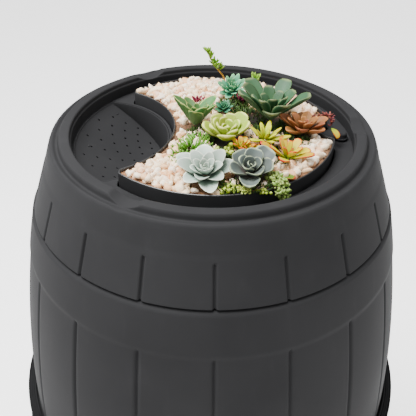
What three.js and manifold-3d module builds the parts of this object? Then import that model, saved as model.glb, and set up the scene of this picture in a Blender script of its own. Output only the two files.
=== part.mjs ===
// Rain barrel with a planter top: two staved shells joined by a clamp hoop, a lift-off cover with
// a strainer dish and a crescent planter, and a ball-valve spigot low on the front.
// Millimetres, +Z up. The base stands on z = 0 with its centre at the origin; the front faces -Y.
import * as THREE from 'three';
import { mergeVertices } from 'three/addons/utils/BufferGeometryUtils.js';
import Module from 'manifold-3d';

const wasm = await Module();
wasm.setup();

// ---- Driving dimensions ----
const barrelHeight = 914;
const coverHeight = 102;          // seam up to the top of the rim
const bellyRadius = 298;
const bellyHeight = 420;
const seamRadius = 250;
const jointHeight = 457;          // middle of the clamped joint between the two shells
const lowerHoopHeight = 386;
const shellWall = 4.5;
const shellColumns = 4;           // columns of points on each stave
const staveCount = 18;
const grooveDepth = 3;
const grooveHalfAngle = THREE.MathUtils.degToRad(1.1);

const seamStep = 1;               // the cover's foot stands in from the shell's side by this much
const coverTaper = 19;            // how far the cover's staved side leans in
const coverWall = 4.5;
const shoulderWidth = 27;         // shoulder and drain groove outside the rim
const rimBand = 13;               // width of the flat top of the rim
const grooveRise = 57;            // seam up to the top of the cover's stave lines
const rimThickness = 12;
const deckDepth = 22;             // rim top down to the deck
const deckThickness = 5;
const notchCount = 3;
const notchWidth = 45;
const notchDepth = 8;

const trenchWidth = 27;           // open deck between the planter and the rim
const trayRise = 18;              // how far the planter tray stands above the deck
const trayDepth = 104;
const trayWall = 3;
const trayFloor = 4;
const biteGap = 6;                // between the dish and the bite that the planter leaves for it
const tipTrim = 6;                // length cut off each pointed tip of the crescent
const scallopRadius = 30;
const scallopInset = 20;          // rim in to the middle of the scallop
const plugInset = 15;             // rim in to the middle of the port plug
const plugRadius = 4.6;
const plugFlange = 9.5;
const plugCap = 7.8;
const plugRise = 9.5;             // seat up to the top of the plug's cap
const wellWall = 3;

const dishRadius = 115;
const dishInset = 16;             // rim in to the centre of the dish's round side
const dishLip = 2;
const dishWall = 2.5;
const bowlDepth = 62;             // deck down to the bowl's lowest point, on the barrel's axis
const strainerHole = 1.6;
const strainerEdge = 9;           // dish's edge in to the nearest hole
const strainerPitch = 18.1;       // between the arcs of holes
const strainerBack = 78;          // axis back to the point that the arcs go round
const strainerReach = 201.6;      // that point out to the widest arc
const strainerTurn = THREE.MathUtils.degToRad(6.84);

const hoopDepth = 16;             // how far a hoop stands out past the shell
const hoopHeight = 20;
const hoopRidges = 4;
const ridgeDrop = 7;              // from a hoop's inner edge down to its outer one
const earThickness = 6;           // the joint hoop's bolted ears
const earReach = 26;
const earGap = 26;                // between the two ears
const boltRadius = 3.2;
const boltHole = 3.5;
const nutRadius = 6;
const nutThickness = 6;

const spigotHeight = 70;
const spigotBore = 7;
const spigotThread = 12.5;
const spigotPipe = 13;
const spigotCollar = 20;
const washerRadius = 21;
const washerThickness = 2.5;
const valveReach = 48;            // wall pad to the middle of the valve
const valveRadius = 18;
const ballRadius = 12;
const outletRadius = 12;
const outletDrop = 46;            // valve's middle down to the outlet's mouth
const stemRadius = 4;
const leverRise = 27;             // valve's middle up to the lever
const leverLength = 62;
const leverWidth = 13;
const leverThickness = 4.5;

const touch = 0.3;                // gap between pieces that touch
const fit = 2;                    // clearance round pieces that drop in
const roundSides = 40;            // flats on a large circle

// ---- Sizes that follow ----
const seamHeight = barrelHeight - coverHeight;
const coverFoot = seamRadius - seamStep;
const shoulderRadius = coverFoot - coverTaper;
const rimOuterRadius = shoulderRadius - shoulderWidth;
const rimInnerRadius = rimOuterRadius - rimBand;
const trayRadius = rimInnerRadius - trenchWidth;
const biteX = dishInset - rimInnerRadius;
const biteRadius = dishRadius + biteGap;
const scallopX = rimInnerRadius - scallopInset;
const deckHeight = barrelHeight - deckDepth;
const trayTop = deckHeight + trayRise;
const trayBottom = trayTop - trayDepth;
const gravelTop = trayTop - 4;
const gravelDepth = 8;
const lensReach = rimInnerRadius - fit;
const bowlFloor = deckHeight - bowlDepth;
const bowlRadius = (lensReach ** 2 + bowlDepth ** 2) / (2 * bowlDepth);

// ---- Materials ----
const finish = (color, roughness, metalness = 0) =>
  new THREE.MeshStandardMaterial({ color, roughness, metalness });
const charcoal = finish(0x45464a, 0.6);
const darkRib = finish(0x2e2f31, 0.55);
const trayBlack = finish(0x1f2021, 0.45);
const rubberBlack = finish(0x161616, 0.9);
const brass = finish(0xb08d4a, 0.35, 0.9);
const steel = finish(0xb9bcc0, 0.35, 0.9);
const leverBlack = finish(0x1b1b1c, 0.5);

const barrel = new THREE.Group();

// ---- Solids ----
function toSolid(geometry) {
  const bare = geometry.clone();
  bare.deleteAttribute('normal');
  bare.deleteAttribute('uv');
  const merged = mergeVertices(bare, 1e-3);
  const corners = merged.index.array;
  const triangles = [];
  for (let i = 0; i < corners.length; i += 3) {
    const [a, b, c] = [corners[i], corners[i + 1], corners[i + 2]];
    if (a !== b && b !== c && c !== a) triangles.push(a, b, c);
  }
  const vertProperties = merged.attributes.position.array;
  const triVerts = Uint32Array.from(triangles);
  return new wasm.Manifold(new wasm.Mesh({ numProp: 3, vertProperties, triVerts }));
}

function addPart(name, solid, material) {
  const made = solid.getMesh();
  const geometry = new THREE.BufferGeometry();
  geometry.setAttribute('position', new THREE.BufferAttribute(made.vertProperties, 3));
  geometry.setIndex(new THREE.BufferAttribute(made.triVerts, 1));
  geometry.computeVertexNormals();
  const mesh = new THREE.Mesh(geometry, material);
  mesh.name = name;
  barrel.add(mesh);
}

// A profile of [radius, height] pairs turned round Z; it runs up the outside and down the inside.
function turned(profile, segments = roundSides) {
  const points = profile.map(([radius, height]) => new THREE.Vector2(radius, height));
  return new THREE.LatheGeometry(points, segments).rotateX(Math.PI / 2);
}

// A closed ring of any section turned round Z.
const ring = (section, segments) => turned([...section, section[0]], segments);

function tubeRing(inner, outer, low, high, segments = roundSides) {
  return toSolid(ring([[outer, low], [outer, high], [inner, high], [inner, low]], segments));
}

function disc(radius, low, high, x = 0, y = 0, segments = roundSides) {
  const plate = new THREE.CylinderGeometry(radius, radius, high - low, segments);
  plate.rotateX(Math.PI / 2).translate(x, y, (low + high) / 2);
  return toSolid(plate);
}

function block(sizeX, sizeY, sizeZ, x, y, z) {
  return toSolid(new THREE.BoxGeometry(sizeX, sizeY, sizeZ).translate(x, y, z));
}

// A round bar along Y at the spigot's height, between two distances in front of the axis.
function frontBar(radius, near, far, segments = 16) {
  const bar = new THREE.CylinderGeometry(radius, radius, far - near, segments);
  return toSolid(bar.translate(0, -(near + far) / 2, spigotHeight));
}

const joined = (solids) => solids.reduce((whole, next) => whole.add(next));
const cut = (solid, tools) => tools.reduce((left, tool) => left.subtract(tool), solid);

// ---- Staved shells ----
// The shells' outside swells as a parabola from the seam to the belly and in again to the base.
function shellRadius(height) {
  const share = (height - bellyHeight) / (seamHeight - bellyHeight);
  return bellyRadius - (bellyRadius - seamRadius) * share ** 2;
}

// Turns a profile with a few columns a stave, and presses the joint line between staves inwards
// over the stretch of height given.
function staved(profile, low, high) {
  const geometry = turned(profile, staveCount * shellColumns);
  const stave = 2 * Math.PI / staveCount;
  const columns = [0, grooveHalfAngle, stave / 2, stave - grooveHalfAngle];
  const place = geometry.attributes.position;
  for (let i = 0; i < place.count; i += 1) {
    const [x, y, z] = [place.getX(i), place.getY(i), place.getZ(i)];
    const step = Math.round(Math.atan2(x, -y) / stave * shellColumns);
    const column = ((step % shellColumns) + shellColumns) % shellColumns;
    const angle = Math.floor(step / shellColumns) * stave + columns[column];
    const pressed = column === 0 && z > low && z < high && Math.hypot(x, y) > lipInner;
    const radius = Math.hypot(x, y) - (pressed ? grooveDepth : 0);
    place.setXY(i, radius * Math.sin(angle), -radius * Math.cos(angle));
  }
  return toSolid(geometry);
}

// Points of the shell's side between two heights, moved in from its outside by an inset.
function shellSide(from, to, steps, inset = 0) {
  const side = [];
  for (let i = 0; i <= steps; i += 1) {
    const height = from + (to - from) * i / steps;
    side.push([shellRadius(height) - inset, height]);
  }
  return side;
}

const gasketThickness = 2;
const flangeThickness = 4.2;
const flangeRadius = shellRadius(jointHeight) + 8;
const flangeGap = gasketThickness / 2 + touch;
const grooveMargin = 14;          // plain wall left above and below a run of grooves

function padFrame() {
  const padRadius = 26;
  const face = shellRadius(spigotHeight + padRadius) + 1.5;
  const back = shellRadius(spigotHeight - padRadius) - shellWall - 2.5;
  return { padRadius, face, back };
}

function makeLowerShell() {
  const top = jointHeight - flangeGap;
  const under = top - flangeThickness;
  const floorThickness = 5;
  const footRadius = shellRadius(0) - 8;
  const grooveTop = under - grooveMargin;
  const profile = [
    [0, 0], [footRadius, 0], ...shellSide(8, grooveMargin, 1),
    ...shellSide(grooveMargin + 8, grooveTop - 8, 3), ...shellSide(grooveTop, under, 1),
    [flangeRadius, under], [flangeRadius, top],
    ...shellSide(top, floorThickness + 6, 3, shellWall),
    [footRadius - shellWall, floorThickness], [0, floorThickness],
  ];
  const shell = staved(profile, grooveMargin, grooveTop);
  const { padRadius, face, back } = padFrame();
  const pad = frontBar(padRadius, back, face);
  const hole = frontBar(spigotThread + touch, back - 2, face + 2);
  addPart('lower_shell', cut(shell.add(pad), [hole]), charcoal);
}

const lipInner = seamRadius - 28; // inner edge of the ledge that the cover rests on
const lipThickness = 5;
const sealThickness = 2;
const smoothBand = 60;            // plain band under the seam

function makeUpperShell() {
  const bottom = jointHeight + flangeGap;
  const over = bottom + flangeThickness;
  const bandFoot = seamHeight - smoothBand;
  const profile = [
    [flangeRadius, bottom], [flangeRadius, over],
    ...shellSide(over, over + grooveMargin, 1),
    ...shellSide(over + grooveMargin + 8, bandFoot - 4, 3),
    ...shellSide(bandFoot, seamHeight - 3, 1, -1.5),
    [seamRadius - 1, seamHeight - 1], [lipInner, seamHeight - 1],
    [lipInner, seamHeight - 1 - lipThickness],
    ...shellSide(seamHeight - 2 - lipThickness, bottom, 3, shellWall),
    [flangeRadius, bottom],
  ];
  addPart('upper_shell', staved(profile, over + grooveMargin, bandFoot), charcoal);
}

// ---- Hoops ----
// A hoop's top is a run of round ridges stepping down and outwards.
function ridgedTop(inner, outer, top) {
  const points = [];
  const pitch = (outer - inner) / hoopRidges;
  for (let i = hoopRidges - 1; i >= 0; i -= 1) {
    const height = top - ridgeDrop * (i + 1) / hoopRidges;
    points.push([inner + (i + 1) * pitch, height - 1.5], [inner + (i + 0.5) * pitch, height + 1]);
  }
  return points;
}

const hoopGap = 2;
const jointHoopOuter = shellRadius(jointHeight) + hoopDepth;
const boltMiddle = jointHoopOuter + 11;

// A bar along X on the line of the hoop's bolt.
function sideBar(radius, from, to, segments = 16) {
  return toSolid(new THREE.CylinderGeometry(radius, radius, to - from, segments)
    .rotateZ(Math.PI / 2).translate((from + to) / 2, boltMiddle, jointHeight));
}

function makeJointHoop() {
  const inner = shellRadius(jointHeight) + hoopGap;
  const channel = flangeRadius + hoopGap;
  const half = gasketThickness / 2 + flangeThickness + touch * 2;
  const section = [
    [jointHoopOuter, jointHeight - hoopHeight / 2 + 3],
    ...ridgedTop(inner, jointHoopOuter, jointHeight + hoopHeight / 2),
    [inner, jointHeight + hoopHeight / 2], [inner, jointHeight + half],
    [channel, jointHeight + half], [channel, jointHeight - half], [inner, jointHeight - half],
    [inner, jointHeight - hoopHeight / 2],
  ];
  const earMiddle = jointHoopOuter + earReach / 2 - 3;
  const ear = (side) => block(earThickness, earReach, hoopHeight - 4,
    side * (earGap - earThickness) / 2, earMiddle, jointHeight);
  const split = block(earGap - 2 * earThickness, 60, 2 * hoopHeight, 0, jointHoopOuter,
    jointHeight);
  const drill = sideBar(boltHole, -2 * earGap, 2 * earGap);
  const band = joined([toSolid(ring(section)), ear(1), ear(-1)]);
  addPart('joint_hoop', cut(band, [split, drill]), darkRib);
  addPart('joint_gasket', tubeRing(shellRadius(jointHeight) - 3, flangeRadius - 1,
    jointHeight - gasketThickness / 2, jointHeight + gasketThickness / 2), rubberBlack);
}

function makeHoopBolt() {
  const seat = earGap / 2 + touch;
  const head = sideBar(nutRadius, seat, seat + nutThickness - 1, 6);
  const shank = sideBar(boltRadius, -seat - 2 * nutThickness, seat + 1);
  addPart('hoop_bolt', head.add(shank), steel);
  addPart('hoop_nut', cut(sideBar(nutRadius, -seat - nutThickness, -seat, 6),
    [sideBar(boltHole, -seat - nutThickness - 2, -seat + 2)]), steel);
}

function makeLowerHoop() {
  const inner = bellyRadius + touch * 2;
  const outer = inner + hoopDepth + 5;
  const top = lowerHoopHeight + hoopHeight / 2;
  const section = [
    [outer, top - hoopHeight + 3], ...ridgedTop(inner, outer, top), [inner, top],
    [inner, top - hoopHeight],
  ];
  addPart('lower_hoop', toSolid(ring(section)), darkRib);
}

// ---- Cover ----
// The crescent outline of the planter as an upright prism, grown or shrunk all round.
function crescent(grow, low, high) {
  const tipX = (trayRadius ** 2 - biteRadius ** 2 + biteX ** 2) / (2 * biteX);
  const trimmed = tipX + tipTrim - grow;
  return cut(disc(trayRadius + grow, low, high), [
    disc(biteRadius - grow, low - 1, high + 1, biteX),
    disc(scallopRadius - grow, low - 1, high + 1, scallopX, 0, 20),
    block(100, 2 * trayRadius, high - low + 2, trimmed - 50, 0, (low + high) / 2),
  ]);
}

// The pointed oval between the dish's own circle and the rim, as an upright prism.
function lens(inset, low, high) {
  return disc(dishRadius - inset, low, high, biteX)
    .intersect(disc(lensReach - inset, low, high));
}

function makeNotch(index) {
  const radius = (notchWidth ** 2 / 4 + notchDepth ** 2) / (2 * notchDepth);
  const channel = new THREE.CylinderGeometry(radius, radius, 60, 24).rotateZ(Math.PI / 2);
  channel.translate(rimInnerRadius + 22, 0, barrelHeight - notchDepth + radius);
  return toSolid(channel.rotateZ(index * 2 * Math.PI / notchCount));
}

// Drain holes in the planter and the well under it, as shares of the planter's radius.
const trayDrains = [[-0.12, 0.68], [-0.12, -0.68], [0.37, 0.55], [0.37, -0.55], [0.67, 0.28],
  [0.67, -0.28], [0.1, 0]].map(([x, y]) => [x * trayRadius, y * trayRadius]);
const locatorDepth = 18;

function makeCover() {
  const foot = seamHeight + sealThickness + touch;
  const underDeck = deckHeight - deckThickness;
  const underRim = barrelHeight - rimThickness;
  const grooveTop = seamHeight + grooveRise;
  const innerFoot = coverFoot - coverWall;
  const locator = lipInner - 1.5;
  const profile = [
    [0, underDeck], [rimInnerRadius + 4, underDeck], [rimInnerRadius + 4, underRim],
    [rimOuterRadius + 9, underRim], [rimOuterRadius + 13.5, underRim - 7],
    [shoulderRadius - 5, grooveTop - 1], [innerFoot, foot + 4], [locator - 4, foot + 4],
    [locator - 4, seamHeight - locatorDepth], [locator, seamHeight - locatorDepth],
    [locator, foot], [coverFoot, foot], [shoulderRadius, grooveTop],
    [shoulderRadius - 3, grooveTop + 7], [shoulderRadius - 8, grooveTop + 23],
    [rimOuterRadius + 14, barrelHeight - 8], [rimOuterRadius + 11.5, barrelHeight - 5],
    [rimOuterRadius + 6.5, barrelHeight - 5.2], [rimOuterRadius + 2, barrelHeight - 0.8],
    [rimOuterRadius, barrelHeight],
    [rimInnerRadius, barrelHeight], [rimInnerRadius, deckHeight], [0, deckHeight],
  ];
  const shell = staved(profile, seamHeight - 2, grooveTop + 1);
  const wellFloor = trayBottom - touch;
  const well = crescent(fit + wellWall, wellFloor - wellWall, deckHeight - 1);
  const openings = [
    crescent(fit, wellFloor, deckHeight + 1),
    lens(dishLip, underDeck - 1, deckHeight + 1),
    lens(0, deckHeight - dishWall, deckHeight + 1),
    disc(plugRadius + touch, underDeck - 1, deckHeight + 1, plugX, 0, 16),
    ...trayDrains.map(([x, y]) => disc(5, wellFloor - 10, wellFloor + 1, x, y, 6)),
    ...Array.from({ length: notchCount }, (unused, index) => makeNotch(index)),
  ];
  addPart('top_cover', cut(shell.add(well), openings), charcoal);
  addPart('cover_seal', tubeRing(lipInner + 1, innerFoot - 2, seamHeight - 1 + touch,
    seamHeight + sealThickness), rubberBlack);
}

// ---- Strainer dish ----
// The dish is the part of one wide bowl about the barrel's axis that lies within its outline.
const frameTop = bowlFloor - 4;
const bossInset = 15;
const bossTipX = ((lensReach - bossInset) ** 2 - (dishRadius - bossInset) ** 2 + biteX ** 2)
  / (2 * biteX);
const bossTipY = Math.sqrt((lensReach - bossInset) ** 2 - bossTipX ** 2);
const bossSpots = [[bossInset - lensReach, 0], [biteX + dishRadius - bossInset, 0],
  [bossTipX, bossTipY], [bossTipX, -bossTipY]];

// Holes on arcs about a point behind the barrel's axis, on spokes at equal turns.
function strainerHoles() {
  const holes = [];
  const near = (x, y, centreX, radius) => Math.hypot(x - centreX, y) < radius - strainerEdge;
  for (let arc = 0; arc < 9; arc += 1) {
    for (let spoke = -4; spoke <= 11; spoke += 1) {
      const radius = strainerReach - arc * strainerPitch;
      const turn = Math.PI + (spoke - 0.44) * strainerTurn;
      const [x, y] = [radius * Math.cos(turn), strainerBack + radius * Math.sin(turn)];
      const clear = bossSpots.every(([bossX, bossY]) => Math.hypot(x - bossX, y - bossY) > 6);
      if (clear && near(x, y, biteX, dishRadius) && near(x, y, 0, lensReach)) {
        holes.push(disc(strainerHole, bowlFloor - 8, deckHeight, x, y, 6));
      }
    }
  }
  return holes;
}

function makeDish() {
  const ball = (radius) => toSolid(new THREE.SphereGeometry(radius, 64, 48)
    .rotateX(Math.PI / 2).translate(0, 0, bowlFloor + bowlRadius));
  const low = bowlFloor - 10;
  const outer = lens(dishLip + touch, low, deckHeight).intersect(ball(bowlRadius + dishWall));
  const hollow = lens(dishLip + dishWall, low, deckHeight + 10).intersect(ball(bowlRadius));
  const lip = lens(touch, deckHeight - dishWall + touch, deckHeight);
  const boss = ([x, y]) => disc(3.5, frameTop + touch, deckHeight - 6, x, y, 10);
  const pilot = ([x, y]) => disc(1.4, frameTop - 1, frameTop + 7, x, y, 8);
  const bosses = joined(bossSpots.map(boss)).subtract(hollow);
  const dish = cut(outer.add(lip), [hollow]).add(bosses);
  addPart('strainer_dish', cut(dish, [...bossSpots.map(pilot), ...strainerHoles()]), charcoal);
}

function makeScreen() {
  const low = frameTop - 3;
  const frame = cut(lens(8, low, frameTop), [
    lens(26, low - 1, frameTop + 1), lens(21, frameTop - 1.5, frameTop + 1),
    ...bossSpots.map(([x, y]) => disc(1.6, low - 1, frameTop + 1, x, y, 8)),
  ]);
  addPart('screen_frame', frame, darkRib);
  addPart('insect_mesh', lens(21.5, frameTop - 1.2, frameTop - 0.4), steel);
  bossSpots.forEach(([x, y], index) => {
    const head = disc(3, low - touch - 1.8, low - touch, x, y, 10);
    const shank = disc(1.1, low - 1, frameTop + 6, x, y, 8);
    addPart(`screen_screw_${index + 1}`, head.add(shank), steel);
  });
}

// ---- Planter ----
function makePlanter() {
  const inner = crescent(-trayWall, trayBottom + trayFloor, trayTop + 1);
  const drains = trayDrains.map(([x, y]) => disc(4, trayBottom - 1, trayBottom + 10, x, y, 6));
  addPart('planter_tray', cut(crescent(0, trayBottom, trayTop), [inner, ...drains]), trayBlack);
  const fill = -trayWall - touch;
  const gravelFoot = gravelTop - gravelDepth;
  addPart('potting_soil', crescent(fill, trayBottom + trayFloor + touch, gravelFoot - touch),
    finish(0x3a2c22, 0.95));
  addPart('gravel_layer', crescent(fill, gravelFoot, gravelTop), finish(0xd8cabb, 0.8));
}

// A low plant as a closed bud: a narrow foot, the widest leaves part way up and a blunt crown.
function bud(radius, height) {
  return turned([[0, 0], [radius * 0.4, 0], [radius, height * 0.45], [radius * 0.75, height * 0.85],
    [0, height]], 10);
}

// The bed runs across from the bite's wall and along both ways from the middle. Each plant has its
// name, place across and along, and radius, as shares of the bed's width, half length and width.
const bedRadius = trayRadius - trayWall;
const bedStart = biteX + biteRadius + trayWall;
const bedWidth = bedRadius - bedStart;
const plants = [
  ['plant_silver_rosette', 0.186, -0.77, 0.12, 34, 0xa9b0a4],
  ['plant_blue_rosette', 0.415, -0.71, 0.1, 36, 0x8fa6a8],
  ['plant_lime_rosette', 0.319, -0.21, 0.128, 34, 0xcdd9a0],
  ['plant_green_rosette', 0.1, -0.03, 0.12, 40, 0x8fb07a],
  ['plant_spoon_leaf', 0.605, 0.116, 0.2, 52, 0x4f7a4c],
  ['plant_teal_rosette', 0.376, 0.544, 0.09, 26, 0x7fa39a],
  ['plant_bronze_rosette', 0.819, -0.15, 0.06, 26, 0x8d6f4a],
  ['plant_star_rosette', 0.55, -0.39, 0.084, 26, 0xb6c465],
  ['plant_orange_paddle', 0.657, -0.587, 0.076, 30, 0xe2a63f],
  ['plant_spiky_sedum', 0.1, -0.38, 0.069, 18, 0x9fb86c],
  ['plant_bead_cluster', 0.324, -0.925, 0.033, 10, 0xa8b96b],
  ['plant_tall_sprig', 0.314, 0.863, 0.038, 66, 0xb7b86a],
  ['plant_short_sprig', 0.524, 0.706, 0.034, 24, 0xc4c98a],
  ['plant_burgundy_sprig', 0.87, 0.22, 0.034, 24, 0x7d3340],
];

function makePlants() {
  for (const [name, across, along, radius, height, colour] of plants) {
    const body = bud(radius * bedWidth, height);
    body.translate(bedStart + across * bedWidth, along * bedRadius, gravelTop + touch);
    addPart(name, toSolid(body), finish(colour, 0.7));
  }
  const over = new THREE.Vector2(0.46, -0.888);
  const stem = [[-11, 9], [-5, 12], [3, 13], [10, 4], [12, -7]].map(([out, rise]) =>
    new THREE.Vector3(over.x, over.y, 0).multiplyScalar(trayRadius + out).setZ(gravelTop + rise));
  const section = new THREE.Shape().absarc(0, 0, 5.5, 0, 2 * Math.PI);
  const tail = new THREE.ExtrudeGeometry(section, {
    steps: 8, curveSegments: 8, bevelEnabled: false,
    extrudePath: new THREE.CatmullRomCurve3(stem),
  });
  addPart('plant_donkey_tail', toSolid(tail), finish(0x9db877, 0.7));
}

// ---- Port plug ----
const plugX = rimInnerRadius - plugInset;

function makePlug() {
  const seat = deckHeight + 1 + touch;
  const profile = [[0, deckHeight - 12], [plugRadius, deckHeight - 12], [plugRadius, seat],
    [plugFlange, seat], [plugFlange, seat + 2.6], [plugCap, seat + 3],
    [plugCap - 0.4, seat + plugRise - 1.5], [plugCap - 2, seat + plugRise], [0, seat + plugRise]];
  addPart('port_plug', toSolid(turned(profile, 24).translate(plugX, 0, 0)), charcoal);
  const seal = ring([[8, deckHeight + touch], [8, seat - touch], [plugRadius + 1, seat - touch],
    [plugRadius + 1, deckHeight + touch]], 24);
  addPart('port_seal', toSolid(seal.translate(plugX, 0, 0)), rubberBlack);
}

// ---- Spigot ----
function makeSpigot() {
  const { face, back } = padFrame();
  const collar = face + washerThickness + 2 * touch;
  const valve = face + valveReach;
  const outlet = (radius, low, high) => disc(radius, low, high, 0, -valve - 16, 16);
  const body = joined([
    frontBar(spigotThread, back - 16, collar + 1), frontBar(spigotCollar, collar, collar + 7, 6),
    frontBar(spigotPipe, collar + 6, valve - 14),
    frontBar(valveRadius, valve - 17, valve + 26),
    outlet(outletRadius, spigotHeight - outletDrop, spigotHeight),
    disc(2 * stemRadius + 1, spigotHeight + 8, spigotHeight + leverRise - 1, 0, -valve, 16),
  ]);
  const chamber = toSolid(new THREE.SphereGeometry(ballRadius + 0.4, 16, 10)
    .translate(0, -valve, spigotHeight));
  const passages = [
    frontBar(spigotBore, back - 17, valve + 16, 12),
    outlet(spigotBore, spigotHeight - outletDrop - 1, spigotHeight + 3), chamber,
    disc(stemRadius + touch, spigotHeight, spigotHeight + leverRise, 0, -valve, 16),
  ];
  addPart('spigot_body', cut(body, passages), brass);
  const collarRing = (outer, from, to, segments) =>
    cut(frontBar(outer, from, to, segments), [frontBar(spigotThread + touch, from - 1, to + 1)]);
  const washer = (from) => collarRing(washerRadius, from, from + washerThickness, 24);
  addPart('spigot_outer_washer', washer(face + touch), rubberBlack);
  addPart('spigot_inner_washer', washer(back - touch - washerThickness), rubberBlack);
  const nutFace = back - 2 * touch - washerThickness;
  addPart('spigot_locknut', collarRing(washerRadius, nutFace - 8, nutFace, 6), brass);
  makeValve(valve);
}

function makeValve(valve) {
  const ball = toSolid(new THREE.SphereGeometry(ballRadius, 16, 10)
    .translate(0, -valve, spigotHeight));
  const bore = toSolid(new THREE.CylinderGeometry(6, 6, 40, 16).rotateZ(Math.PI / 2)
    .translate(0, -valve, spigotHeight));
  addPart('valve_ball', cut(ball, [bore]), steel);
  const stemFoot = spigotHeight + ballRadius + touch;
  const leverFoot = spigotHeight + leverRise;
  const leverTop = leverFoot + leverThickness;
  addPart('valve_stem', disc(stemRadius, stemFoot, leverTop + 0.5, 0, -valve, 16), brass);
  const hub = disc(2 * stemRadius + 1, leverFoot, leverTop, 0, -valve, 16);
  const arm = block(leverLength, leverWidth, leverThickness, leverLength / 2, -valve,
    (leverFoot + leverTop) / 2);
  const tip = disc(leverWidth / 2, leverFoot, leverTop, leverLength, -valve, 16);
  const socket = disc(stemRadius + touch, leverFoot - 1, leverTop + 1.5, 0, -valve, 16);
  addPart('valve_lever', cut(joined([hub, arm, tip]), [socket]), leverBlack);
  const screwFoot = leverTop + 0.5 + touch;
  addPart('lever_screw', disc(7, screwFoot, screwFoot + 3, 0, -valve, 16), steel);
}

makeLowerShell();
makeUpperShell();
makeJointHoop();
makeHoopBolt();
makeLowerHoop();
makeCover();
makeDish();
makeScreen();
makePlanter();
makePlants();
makePlug();
makeSpigot();

export default barrel;
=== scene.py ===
import bmesh
import bpy
import numpy as np
from mathutils import Matrix, Vector


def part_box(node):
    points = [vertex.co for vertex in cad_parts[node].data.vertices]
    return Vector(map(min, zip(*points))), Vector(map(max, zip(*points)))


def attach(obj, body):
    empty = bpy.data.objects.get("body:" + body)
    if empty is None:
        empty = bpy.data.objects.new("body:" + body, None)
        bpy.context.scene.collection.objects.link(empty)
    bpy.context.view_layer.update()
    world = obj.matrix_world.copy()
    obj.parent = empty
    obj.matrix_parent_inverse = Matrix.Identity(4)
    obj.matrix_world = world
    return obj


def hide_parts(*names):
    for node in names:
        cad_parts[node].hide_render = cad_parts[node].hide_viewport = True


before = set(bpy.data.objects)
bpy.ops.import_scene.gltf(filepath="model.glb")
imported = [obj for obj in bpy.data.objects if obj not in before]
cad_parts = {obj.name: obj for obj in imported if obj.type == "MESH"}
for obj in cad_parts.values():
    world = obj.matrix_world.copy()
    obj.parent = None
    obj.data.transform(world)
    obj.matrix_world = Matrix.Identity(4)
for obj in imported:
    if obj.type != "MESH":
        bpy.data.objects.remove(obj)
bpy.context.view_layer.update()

# ---- Camera, floor and light ----
# A short telephoto above and in front of the barrel looks down on its cover. The floor is plain
# and pale. Broad soft lamps stand at both sides and overhead, as for a catalogue picture.
rim_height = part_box("top_cover")[1].z
seam_drop = 0.102
seam_height = rim_height - seam_drop
camera_distance = 0.739
camera_height = seam_height + 0.497
camera_turn, camera_pitch, camera_roll = np.radians([1.0, 35.85, 0.67])

lens = bpy.data.cameras.new("camera")
lens.lens = 53.4
lens.sensor_width = 36.0
lens.shift_x = -0.0096
camera = bpy.data.objects.new("camera", lens)
aim = Matrix.Rotation(-camera_turn, 4, "Z") @ Matrix.Rotation(np.pi / 2 - camera_pitch, 4, "X")
camera.matrix_world = (
    Matrix.Translation((-camera_distance * np.sin(camera_turn),
                        -camera_distance * np.cos(camera_turn), camera_height))
    @ aim @ Matrix.Rotation(camera_roll, 4, "Z"))
bpy.context.scene.collection.objects.link(camera)
bpy.context.scene.camera = camera


def lamp(name, place, target, size, watts):
    """A square soft lamp at a place, facing a target."""
    light = bpy.data.lights.new(name, "AREA")
    light.shape = "SQUARE"
    light.size = size
    light.energy = watts
    holder = bpy.data.objects.new(name, light)
    facing = (Vector(target) - Vector(place)).to_track_quat("-Z", "Y")
    holder.matrix_world = Matrix.Translation(place) @ facing.to_matrix().to_4x4()
    bpy.context.scene.collection.objects.link(holder)


lamp("lamp_left", (-1.9, -0.5, 1.5), (0, 0, 0.6), 1.4, 22)
lamp("lamp_right", (1.9, -0.2, 1.5), (0, 0, 0.6), 1.2, 14)
lamp("lamp_above", (-0.6, 0.0, 2.6), (0, 0, 0.8), 1.2, 112)

world = bpy.data.worlds.new("studio")
world.use_nodes = True
world.node_tree.nodes["Background"].inputs["Color"].default_value = (1.0, 1.0, 1.0, 1.0)
world.node_tree.nodes["Background"].inputs["Strength"].default_value = 0.75
bpy.context.scene.world = world


class Socket:
    """One output of a material's nodes. Arithmetic on it adds Math nodes."""

    def __init__(self, tree, output):
        self.tree = tree
        self.output = output

    def node(self, kind, sockets, out=0, stops=(), **settings):
        """Adds a node of a kind: its settings and ramp stops first, then its sockets' values."""
        made = self.tree.nodes.new(kind)
        for name, value in settings.items():
            setattr(made, name, value)
        for index, (position, colour) in enumerate(stops):
            ramp = made.color_ramp.elements
            stop = ramp[index] if index < len(ramp) else ramp.new(position)
            stop.position = position
            stop.color = (*colour, 1.0)
        for name, value in sockets.items():
            if isinstance(value, Socket):
                self.tree.links.new(value.output, made.inputs[name])
            else:
                made.inputs[name].default_value = value
        return Socket(self.tree, made.outputs[out])

    def math(self, operation, first, second):
        return self.node("ShaderNodeMath", {0: first, 1: second}, operation=operation)

    def __add__(self, other):
        return self.math("ADD", self, other)

    def __sub__(self, other):
        return self.math("SUBTRACT", self, other)

    def __rsub__(self, other):
        return self.math("SUBTRACT", other, self)

    def __mul__(self, other):
        return self.math("MULTIPLY", self, other)

    __radd__ = __add__
    __rmul__ = __mul__

    def over(self, low, high):
        """0 below one value, 1 above another and a soft ramp between."""
        return self.node("ShaderNodeMapRange", {"Value": self, "From Min": low, "From Max": high},
                         interpolation_type="SMOOTHSTEP")

    def noise(self, scale, detail=3.0):
        """Noise over this position, from 0 to 1."""
        return self.node("ShaderNodeTexNoise",
                         {"Vector": self, "Scale": scale, "Detail": detail})

    def mix(self, first, second):
        """One colour where this mask is 0 and the other where it is 1."""
        return self.node("ShaderNodeMix", {0: self, 6: first, 7: second}, out=2, data_type="RGBA")


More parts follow.
